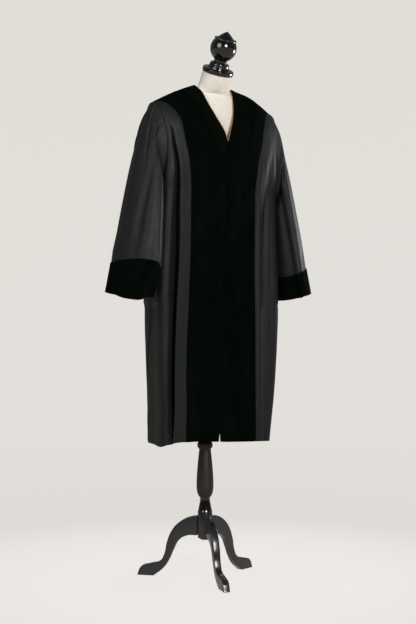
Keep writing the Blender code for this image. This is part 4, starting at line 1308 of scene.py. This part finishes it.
SIDE_FOLDS = {
    "right": [
        fold(
            (0.445, 0.044, 0.004, 0.022, 0.020, 0.0020),
            (0.800, 0.046, 0.004, 0.024, 0.022, 0.0030),
            (1.060, 0.047, 0.004, 0.024, 0.022, 0.0030),
            (1.250, 0.044, 0.004, 0.018, 0.020, 0.0025),
            (1.430, 0.034, 0.004, 0.010, 0.014, 0.0),
        ),
        fold(
            (0.445, 0.150, 0.036, 0.004, 0.036, 0.0008),
            (0.800, 0.140, 0.036, 0.004, 0.036, 0.0012),
            (1.050, 0.128, 0.030, 0.004, 0.030, 0.0010),
            (1.200, 0.120, 0.024, 0.004, 0.030, 0.0),
        ),
    ],
    "left": [
        fold(
            (0.445, 0.014, 0.012, 0.003, 0.016, -0.0020),
            (0.800, 0.014, 0.012, 0.003, 0.016, -0.0026),
            (1.200, 0.015, 0.012, 0.003, 0.016, -0.0026),
            (1.400, 0.014, 0.012, 0.003, 0.016, 0.0),
        ),
        fold(
            (0.445, 0.042, 0.018, 0.004, 0.030, 0.0030),
            (0.800, 0.042, 0.018, 0.004, 0.030, 0.0040),
            (1.060, 0.042, 0.018, 0.004, 0.030, 0.0040),
            (1.280, 0.044, 0.016, 0.004, 0.024, 0.0030),
            (1.410, 0.044, 0.012, 0.002, 0.014, 0.0),
        ),
        fold(
            (0.445, 0.090, 0.032, 0.012, 0.060, -0.0080),
            (0.620, 0.092, 0.032, 0.012, 0.060, -0.0098),
            (0.900, 0.092, 0.032, 0.012, 0.056, -0.0072),
            (1.100, 0.084, 0.030, 0.010, 0.050, -0.0030),
            (1.220, 0.078, 0.026, 0.008, 0.040, 0.0),
        ),
    ],
}
FINE_COLUMNS, WOOL_COLUMNS = 420, 150   # columns while the folds are shaped, and of the cloth
WOOL_TOP = 1.975                # the side front ends just short of the shoulder tip
SIDE_HOLD = 0.020               # the folds fade out this far before the side seam
SIDE_SHARE = 0.3                # or over this share of the panel where it is narrow

for side, word in ((-1, "right"), (1, "left")):
    grid = np.array([front_wool_row(rise, FINE_COLUMNS) for rise in rises(WOOL_TOP)])
    normal = normals_of(grid)
    across, up = distance_across(grid), grid[:, :, 2]
    sink = sum(trough(rows, across, up) for rows in SIDE_FOLDS[word])
    sink += ripple(across, up, seed=23 + side, height=0.0003, wave=0.052)
    width = across[:, -1:]
    to_side = np.minimum(SIDE_HOLD, SIDE_SHARE * width)
    hold = ease(across / EDGE_HOLD) * ease((width - across) / to_side)
    crease, edge = (
        np.interp(up, PLEAT_SOFT["up"], PLEAT_SOFT[name]) for name in ("crease", "edge")
    )
    tucked = pleat(PLEATS[word], across, up, crease, edge) * ease((width - across) / to_side)
    tuck = tucked[..., None] * PLEAT_WAY * point(-1.0, 1.0, 1.0)
    grid = grid - normal * (sink * hold)[..., None] + tuck
    grid = evened(grid, WOOL_COLUMNS)
    grid = held_in(grid, WOOL / 2 + GAP / 2 + ROLL, WOOL / 2 + GAP + ROLL)
    grid = seam_turned(*with_hem(grid, normals_of(grid)))
    piece = cloth(f"wool_side_front_{word}", grid if side > 0 else other_side(grid), WOOL, wool)
    outward_check(piece)
    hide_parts(f"side_front_{word}")
    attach(piece, "bust")

# %% [markdown]
# ## The back
# The back is cut in one piece. It hangs from the shoulder seams and the back of the neck in three
# soft folds on each side, no two alike, and its hem rides up a little towards the middle.

# %% Back
BACK_FOLDS = [
    fold(
        (0.445, -0.200, 0.030, 0.004, 0.022, 0.0090),
        (0.900, -0.186, 0.030, 0.004, 0.024, 0.0080),
        (1.200, -0.164, 0.026, 0.004, 0.024, 0.0040),
        (1.340, -0.150, 0.020, 0.004, 0.020, 0.0),
    ),
    fold(
        (0.445, -0.118, 0.040, 0.005, 0.020, 0.0130),
        (0.900, -0.108, 0.040, 0.005, 0.022, 0.0120),
        (1.200, -0.092, 0.034, 0.005, 0.022, 0.0075),
        (1.430, -0.078, 0.028, 0.004, 0.020, 0.0),
    ),
    fold(
        (0.445, -0.038, 0.036, 0.004, 0.018, 0.0100),
        (0.900, -0.034, 0.034, 0.004, 0.018, 0.0090),
        (1.200, -0.028, 0.028, 0.004, 0.018, 0.0060),
        (1.450, -0.020, 0.022, 0.004, 0.016, 0.0),
    ),
    fold(
        (0.445, 0.034, 0.018, 0.004, 0.034, 0.0095),
        (0.900, 0.031, 0.018, 0.004, 0.034, 0.0090),
        (1.200, 0.027, 0.018, 0.004, 0.028, 0.0055),
        (1.450, 0.022, 0.016, 0.004, 0.024, 0.0),
    ),
    fold(
        (0.445, 0.108, 0.020, 0.005, 0.042, 0.0125),
        (0.900, 0.102, 0.022, 0.005, 0.040, 0.0120),
        (1.200, 0.090, 0.022, 0.005, 0.034, 0.0070),
        (1.420, 0.080, 0.020, 0.004, 0.026, 0.0),
    ),
    fold(
        (0.445, 0.196, 0.020, 0.004, 0.034, 0.0090),
        (0.900, 0.184, 0.022, 0.004, 0.032, 0.0075),
        (1.200, 0.166, 0.022, 0.004, 0.026, 0.0040),
        (1.330, 0.152, 0.020, 0.004, 0.020, 0.0),
    ),
]
BACK_COLUMNS = 99               # columns of half the back
LIFT_TOP = 0.35                 # the back hem's lift fades out up to this rise; the underarm is 1
RIDGE_PULL = 0.0014             # the top row is drawn back this much, clear of the velvet
SIDE_TUCK, TUCK_PLACE = 0.0035, 0.012   # the back is drawn in a little beside each side seam
TUCK_TOP, TUCK_FADE = 1.05, 0.30        # below this height, in full this much lower
BACK_HOLD = 0.030               # the folds fade out this far before the side seams
YOKE, YOKE_FADE = 1.548, 0.06   # and below the shoulders

upper = back_upper_lines(BACK_COLUMNS)
halves = []
for rise in rises():
    half = back_row(rise, BACK_COLUMNS, upper)
    share = np.linspace(0.0, 1.0, BACK_COLUMNS)
    half[:, 2] += BACK_HEM_RISE * (1.0 - ease(rise / LIFT_TOP)) * (1.0 - ease(share))
    halves.append(np.concatenate([half[::-1] * point(-1.0, 1.0, 1.0), half[1:]]))
grid = np.array(halves)
grid[-1, :, 1] += RIDGE_PULL
normal = normals_of(grid)
across, up = distance_across(grid), grid[:, :, 2]
width = across[:, -1:]
sink = sum(trough(rows, across - 0.5 * width, up) for rows in BACK_FOLDS)
sink += ripple(across, up, seed=37, height=0.0004, wave=0.056)
to_edges = np.minimum(across, width - across)
sink *= ease(to_edges / BACK_HOLD)
beside = ease(1.0 - np.abs(to_edges - TUCK_PLACE) / TUCK_PLACE)
sink += SIDE_TUCK * beside * ease((TUCK_TOP - up) / TUCK_FADE)
grid -= normal * (sink * ease((YOKE - up) / YOKE_FADE))[..., None]
grid = held_in(grid, WOOL / 2 + GAP + ROLL, WOOL / 2 + GAP + ROLL)
grid = seam_turned(*with_hem(grid, normal))
piece = cloth("wool_back", grid, WOOL, wool)
outward_check(piece)
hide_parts("back")
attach(piece, "bust")

# %% [markdown]
# ## Sleeves and cuffs
# The sleeve's head is eased into the armhole in small pleats that open into long soft folds. Lower
# down the sleeve hangs flat, with a rounded crease along its front edge. The cuff is a band of
# velvet that stands a little proud of the wool.

# %% Sleeves
SLEEVE_FOLDS = {
    "right": [
        fold(
            (0.25, 62.0, 16.0, 2.0, 16.0, 0.0),
            (0.50, 56.0, 18.0, 2.0, 18.0, -0.0025),
            (0.75, 47.0, 16.0, 2.0, 18.0, -0.0035),
            (1.00, 44.0, 18.0, 2.0, 20.0, -0.0030),
        ),
        fold(
            (0.18, 52.0, 10.0, 2.0, 12.0, 0.0),
            (0.36, 44.0, 10.0, 2.0, 14.0, 0.0030),
            (0.60, 32.0, 12.0, 2.0, 14.0, 0.0035),
            (0.85, 22.0, 14.0, 2.0, 16.0, 0.0),
        ),
    ],
    "left": [
        fold(
            (0.02, 96.0, 6.0, 1.0, 8.0, 0.0),
            (0.10, 98.0, 6.0, 1.0, 8.0, -0.0035),
            (0.40, 101.0, 6.0, 1.0, 9.0, -0.0050),
            (0.90, 106.0, 7.0, 1.0, 11.0, -0.0040),
        ),
        fold(
            (0.04, 117.0, 9.0, 2.0, 18.0, 0.0),
            (0.20, 119.0, 9.0, 2.0, 20.0, 0.0040),
            (0.50, 121.0, 10.0, 2.0, 22.0, 0.0055),
            (1.00, 124.0, 10.0, 2.0, 26.0, 0.0030),
        ),
        fold(
            (0.02, 50.0, 12.0, 1.0, 16.0, 0.0),
            (0.10, 52.0, 14.0, 1.0, 18.0, 0.0030),
            (0.30, 55.0, 16.0, 1.0, 20.0, 0.0030),
            (0.70, 58.0, 16.0, 1.0, 20.0, 0.0),
        ),
    ],
}
HEAD_PLEATS = {
    "right": [
        table(
            "up place mouth depth",
            (0.010, 17.0, 8.0, 0.0), (0.05, 17.0, 10.0, 0.0050), (0.12, 18.0, 11.0, 0.0060),
            (0.22, 20.0, 11.0, 0.0035), (0.34, 23.0, 11.0, 0.0),
        ),
        table(
            "up place mouth depth",
            (0.020, 54.0, 7.0, 0.0), (0.08, 55.0, 10.0, 0.0050), (0.16, 57.0, 11.0, 0.0060),
            (0.26, 59.0, 11.0, 0.0030), (0.36, 60.0, 11.0, 0.0),
        ),
    ],
    "left": [
        table(
            "up place mouth depth",
            (0.010, 26.0, 6.0, 0.0), (0.05, 27.0, 9.0, 0.0050), (0.14, 29.0, 10.0, 0.0040),
            (0.30, 32.0, 10.0, 0.0),
        ),
    ],
}
REAR_FOLDS = [
    fold(
        (0.02, -18.0, 9.0, 1.0, 8.0, 0.0),
        (0.07, -19.0, 9.0, 1.0, 8.0, 0.0035),
        (0.22, -22.0, 12.0, 1.0, 12.0, 0.0025),
        (0.45, -26.0, 14.0, 1.0, 14.0, 0.0),
    ),
    fold(
        (0.02, -44.0, 10.0, 1.0, 8.0, 0.0),
        (0.07, -46.0, 10.0, 1.0, 8.0, 0.0045),
        (0.25, -50.0, 14.0, 1.0, 12.0, 0.0050),
        (0.75, -56.0, 18.0, 1.0, 16.0, 0.0020),
    ),
    fold(
        (0.02, -72.0, 8.0, 1.0, 8.0, 0.0),
        (0.07, -74.0, 8.0, 1.0, 8.0, 0.0035),
        (0.25, -80.0, 12.0, 1.0, 10.0, 0.0035),
        (0.55, -86.0, 14.0, 1.0, 14.0, 0.0),
    ),
]
RING = 216                      # points round the sleeve
CUFF_PROUD = 0.0010             # the velvet stands this far off the wool under it
UNDER_CUFF = 0.012              # the wool goes on under the cuff for this share of the sleeve
SWELL, SWELL_FADE = 0.0005, 0.12        # size of the sleeve's slight unevenness, none at its head
SWELL_WAVES = range(3, 15)      # it is the sum of so many waves round the sleeve
SWELL_WANDER, WANDER_PACE = 1.4, 3.1    # radians that each wave wanders, and how often it does
# How much lower each sleeve's hem hangs, round from its outer line to the front.
SLEEVE_DROP = table(
    "turn right left",
    (0.0, 0.001, -0.001), (5.0, 0.006, -0.002), (11.0, 0.0105, -0.003), (24.0, 0.0145, -0.004),
    (45.0, 0.0155, -0.006), (70.0, 0.0115, -0.007), (90.0, 0.002, -0.007),
    (135.0, -0.002, 0.001), (180.0, 0.0, 0.0080), (225.0, 0.0, 0.004), (270.0, 0.0, 0.0),
    (360.0, 0.0, -0.001),
)
DROP_FROM = 0.75                # the drop begins at this station
HEAD_SHARE, HEAD_RINGS, ARM_RINGS, CUFF_RINGS = 0.10, 12, 84, 18


def sleeve_grid(stations, side_word, seed):
    """Rings of the sleeve with its folds; stations has a row a ring and a value each turn."""
    turn = np.broadcast_to(np.linspace(0.0, 360.0, RING, endpoint=False), stations.shape)
    grid = sleeve_points(turn, stations)
    normal = normals_of(grid, closed=True)
    around = np.mod(turn + 180.0, 360.0) - 180.0
    sink = sum(trough(rows, around, stations) for rows in SLEEVE_FOLDS[side_word] + REAR_FOLDS)
    sink = sink + sum(pleat(rows, around, stations) for rows in HEAD_PLEATS[side_word])
    circle = np.radians(turn)
    rng = np.random.default_rng(seed)
    for waves in SWELL_WAVES:
        phase, drift = rng.uniform(0, 2 * math.pi, 2)
        wander = SWELL_WANDER * np.sin(WANDER_PACE * stations + drift)
        swell = np.sin(waves * circle + phase + wander)
        sink = sink + SWELL / math.sqrt(waves) * swell * ease(stations / SWELL_FADE)
    drop = curve(SLEEVE_DROP["turn"], SLEEVE_DROP[side_word], turn)
    drop = drop * ease((stations - DROP_FROM) / (1.0 - DROP_FROM))
    grid = grid - normal * sink[..., None]
    return grid - drop[..., None] * point(0.0, 0.0, 1.0), normal


for side, word in ((-1, "right"), (1, "left")):
    turns = np.linspace(0.0, 360.0, RING, endpoint=False)
    seam = cuff_start(turns, word)
    head = np.linspace(0.0, HEAD_SHARE, HEAD_RINGS, endpoint=False)
    shares = np.concatenate([head, np.linspace(HEAD_SHARE, 1.0, ARM_RINGS)])
    stations = shares[:, None] * (seam + UNDER_CUFF)[None, :]
    grid, _ = sleeve_grid(stations, word, seed=51 + side)
    below = np.linspace(0.0, 1.0, CUFF_RINGS)[:, None]
    cuff_stations = seam[None, :] + (1.0 - seam)[None, :] * below
    cuff_grid, cuff_normal = sleeve_grid(cuff_stations, word, seed=51 + side)
    cuff_grid = cuff_grid + cuff_normal * (CUFF_PROUD + (VELVET + WOOL) / 2)
    for name, rows, wall, finish, node, slot, flat in (
        (f"wool_sleeve_{word}", grid, WOOL, wool, f"sleeve_{word}", "wool_black",
         (0.380, 0.520)),
        (f"velvet_cuff_{word}", cuff_grid, VELVET, velvet, f"cuff_{word}", "velvet_black",
         (0.480, 0.100)),
    ):
        rows = rows[:, ::-1] if side > 0 else rows * point(-1.0, 1.0, 1.0)
        piece = outward_check(cloth(name, rows, wall, finish, closed=True), closed=True)
        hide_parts(node)
        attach(piece, "bust")

# %% [markdown]
# ## The neck lining
# A narrow band of gold satin finishes the inside of the neck. Its edge rolls just past the velvet
# and shows as a thin gold line.

# %% Neck lining
# How far in from the neck edge across the cloth, and how far under it, each row of the band lies.
LINING_ROLL = (
    (-0.0016, 0.0010), (-0.0012, 0.0018), (0.0008, 0.0023), (0.004, 0.0024), (0.009, 0.0024),
    (0.0155, 0.0025),
)
LINING_LEAN, BACK_LINING_EASE = 0.10, 0.0012    # at the back the band leans away from the wool
EASE_EARLY = 5                  # in full after one part in this many of the way round the back
BACK_LINING_SHIFT = 0.0004      # and starts this much farther in
# Ways in which the cloth runs off from the neck edge at the shoulder and at the middle.
SHOULDER_WAY, BACK_WAY = point(0.91, 0.0, -0.41), point(0.0, 0.45, -0.89)
LINING_START, LINING_STEP = 0.012, 0.02     # rise above the V's point, and step for a direction
FRONT_LINING_COLUMNS, BACK_LINING_COLUMNS = 56, 30


def lining_front(rise, reach, depth):
    """Point of the band: so far in from the neck edge across the velvet, and under it."""
    edge, seam = centre_line(rise), seam_line(rise)
    across = unit(seam - edge)
    up = unit(centre_line(min(rise + LINING_STEP, 2.0)) - centre_line(rise - LINING_STEP))
    inward = unit(np.cross(across, up))
    inward = inward if inward[1] > 0 else -inward
    return edge + across * reach + inward * depth


def lining_back(share, reach, depth):
    """The same round the back of the neck; share runs from the shoulder to the middle."""
    edge = along(BACK_NECK_EDGE, share)
    ahead, behind = min(share + LINING_STEP, 1.0), max(share - LINING_STEP, 0.0)
    run = unit(along(BACK_NECK_EDGE, ahead) - along(BACK_NECK_EDGE, behind))
    cloth_way = mix(SHOULDER_WAY, BACK_WAY, share)
    away = unit(cloth_way - run * cloth_way.dot(run))
    inward = unit(np.cross(run, away))
    inward = inward if inward[2] < 0 else -inward
    deeper = BACK_LINING_EASE * ease(share * EASE_EARLY) + max(reach, 0.0) * LINING_LEAN
    return edge + away * (reach + BACK_LINING_SHIFT) + inward * (depth + deeper)


# The fronts' line ends just short of the shoulder seam and the back's starts just past it.
FRONT_LINING_END, BACK_LINING_FROM = 1.995, 0.04
straight = NECK["z"][0] - UNDERARM
start = 1.0 + straight / (straight + length_of(NECK)) + LINING_START
front_rises = np.linspace(start, FRONT_LINING_END, FRONT_LINING_COLUMNS)
back_shares = np.linspace(BACK_LINING_FROM, 1.0, BACK_LINING_COLUMNS)
rows = []
for reach, depth in LINING_ROLL:
    half = np.array([lining_front(rise, reach, depth) for rise in front_rises]
                    + [lining_back(share, reach, depth) for share in back_shares])
    half[-1, 0] = 0.0
    rows.append(np.concatenate([half * point(-1.0, 1.0, 1.0), half[::-1][1:]]))
band = outward_check(cloth("satin_neck_band", np.array(rows)[::-1], SATIN, satin))
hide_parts("neck_lining")
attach(band, "bust")

# %% [markdown]
# ## Camera, floor and light
# The object stands on a pale floor in a white studio. Three softboxes do the work: the key near the
# front, a soft fill at the left, and a small one at the right that lights the far side.

# %% Camera
CAMERA_TURN, CAMERA_DISTANCE, CAMERA_HEIGHT = math.radians(-32.0), 3.93, 0.85
LENS_MM, SENSOR_MM = 70.0, 36.0
FRAME_SHIFT = 3 / 624           # of the frame's longer side, so that the object sits as it should

lens = bpy.data.cameras.new("studio_camera")
lens.lens, lens.sensor_width = LENS_MM, SENSOR_MM
lens.shift_x = lens.shift_y = FRAME_SHIFT
camera = bpy.data.objects.new("studio_camera", lens)
camera.location = (
    CAMERA_DISTANCE * math.sin(CAMERA_TURN),
    POLE_Y - CAMERA_DISTANCE * math.cos(CAMERA_TURN),
    CAMERA_HEIGHT,
)
camera.rotation_euler = (math.pi / 2, 0.0, CAMERA_TURN)
bpy.context.scene.collection.objects.link(camera)
bpy.context.scene.camera = camera

# %% [markdown]
# The floor glows at a painted pale tone that is brightest near the robe, a painted pool of light,
# and darker a metre away. It throws back less light than it shows, as if black flags stood round
# the robe. The room behind the object is lighter than the room in front of it.

# %% Floor and studio
# The nearest tone is the floor's own colour and, where the floor glows, painted light as well.
PAPER_TOP, PAPER_HORIZON, PAPER_BEHIND, PAPER_AND_PAINTED_LIGHT_NEAR = "E1DED8", "E3E0DB", "DFDCD7", "F2EDE9"
FLOOR_BOUNCE, REAR_WALL, DARK_ROOM = 0.45, "6C6B69", "3A3A3C"
FLOOR_RADIUS, PAPER_REACH = 60.0, 5.0   # metres: of the floor, and over which its tone changes
bpy.context.scene.view_settings.view_transform = "Standard"

sweep = bmesh.new()
bmesh.ops.create_circle(sweep, cap_ends=True, segments=96, radius=FLOOR_RADIUS)
floor_mesh = bpy.data.meshes.new("studio_floor")
sweep.to_mesh(floor_mesh)
sweep.free()
floor_finish = bpy.data.materials.new("matte_backdrop_paper")
floor_finish.use_nodes = True
tree = floor_finish.node_tree
output, shader = tree.nodes["Material Output"], tree.nodes["Principled BSDF"]
shader.inputs["Base Color"].default_value = hex_colour(PAPER_AND_PAINTED_LIGHT_NEAR)
shader.inputs["Roughness"].default_value = 0.9
shader.inputs["Specular IOR Level"].default_value = 0.1
seen = add(tree, "ShaderNodeLightPath").outputs["Is Camera Ray"]
place = add(tree, "ShaderNodeTexCoord").outputs["Object"]
far_off = add(tree, "ShaderNodeVectorMath", {0: place}, operation="LENGTH")
reach = add(
    tree, "ShaderNodeMapRange",
    {"Value": far_off.outputs["Value"], "From Min": 0.0, "From Max": PAPER_REACH},
)
# Painted light: the floor's glow is brightest near the robe, as a lit floor would be, and darker
# farther off.
floor_glow_tone = colour_ramp(
    tree, reach.outputs["Result"], (0.09, PAPER_AND_PAINTED_LIGHT_NEAR), (0.24, PAPER_BEHIND), (1.0, PAPER_HORIZON),
)
lit = add(tree, "ShaderNodeMapRange", {"Value": seen, "To Min": FLOOR_BOUNCE, "To Max": 1.0})
glow = add(tree, "ShaderNodeEmission", {"Color": floor_glow_tone, "Strength": lit.outputs["Result"]})
fade = add(
    tree, "ShaderNodeMapRange",
    {"Value": far_off.outputs["Value"], "From Min": 0.25, "From Max": 0.9,
     "To Min": 0.90, "To Max": 1.0},
    interpolation_type="SMOOTHSTEP",
)
blend = add(
    tree, "ShaderNodeMixShader",
    {0: fade.outputs["Result"], 1: shader.outputs["BSDF"], 2: glow.outputs["Emission"]},
)
tree.links.new(blend.outputs["Shader"], output.inputs["Surface"])
floor = bpy.data.objects.new("studio_floor", floor_mesh)
floor.data.materials.append(floor_finish)
bpy.context.scene.collection.objects.link(floor)

world = bpy.data.worlds.new("white_studio")
world.use_nodes = True
tree = world.node_tree
sky = tree.nodes["Background"]
way = add(tree, "ShaderNodeTexCoord").outputs["Generated"]
height = add(tree, "ShaderNodeSeparateXYZ", {"Vector": way}).outputs["Z"]
climb = add(tree, "ShaderNodeMapRange", {"Value": height, "From Min": 0.0, "From Max": 0.25})
backdrop = colour_ramp(tree, climb.outputs["Result"], (0.0, PAPER_HORIZON), (1.0, PAPER_TOP))
rear = (-math.sin(CAMERA_TURN), math.cos(CAMERA_TURN), 0.25)
behind = add(tree, "ShaderNodeVectorMath", {0: way, 1: rear}, operation="DOT_PRODUCT")
round_about = add(
    tree, "ShaderNodeMapRange",
    {"Value": behind.outputs["Value"], "From Min": -0.6, "From Max": 0.8},
    interpolation_type="SMOOTHSTEP",
)
room = colour_ramp(tree, round_about.outputs["Result"], (0.0, DARK_ROOM), (1.0, REAR_WALL))
shown = add(tree, "ShaderNodeBackground", {"Color": backdrop})
tree.links.new(room, sky.inputs["Color"])
seen = add(tree, "ShaderNodeLightPath").outputs["Is Camera Ray"]
chosen = add(
    tree, "ShaderNodeMixShader",
    {0: seen, 1: sky.outputs["Background"], 2: shown.outputs["Background"]},
)
tree.links.new(chosen.outputs["Shader"], tree.nodes["World Output"].inputs["Surface"])
bpy.context.scene.world = world


# %% Softboxes
AIM = Vector((0.0, 0.0, 1.1))   # the softboxes point at the robe's waist


def softbox(name, turn, height, distance, size, power):
    """Round area light at a turn round the object: 0 in front, 90 at its left hand."""
    light = bpy.data.lights.new(name, "AREA")
    light.shape, light.size, light.energy = "DISK", size, power
    made = bpy.data.objects.new(name, light)
    angle = math.radians(turn)
    made.location = (distance * math.sin(angle), -distance * math.cos(angle), height)
    made.rotation_euler = (AIM - made.location).to_track_quat("-Z", "Y").to_euler()
    bpy.context.scene.collection.objects.link(made)


softbox("key", turn=-9.0, height=2.4, distance=4.0, size=1.3, power=99.0)
softbox("side_light", turn=83.0, height=1.4, distance=1.9, size=0.5, power=15.0)
softbox("left_fill", turn=-68.0, height=2.4, distance=2.8, size=1.8, power=28.0)
print("softboxes:", ", ".join(light.name for light in bpy.data.lights))
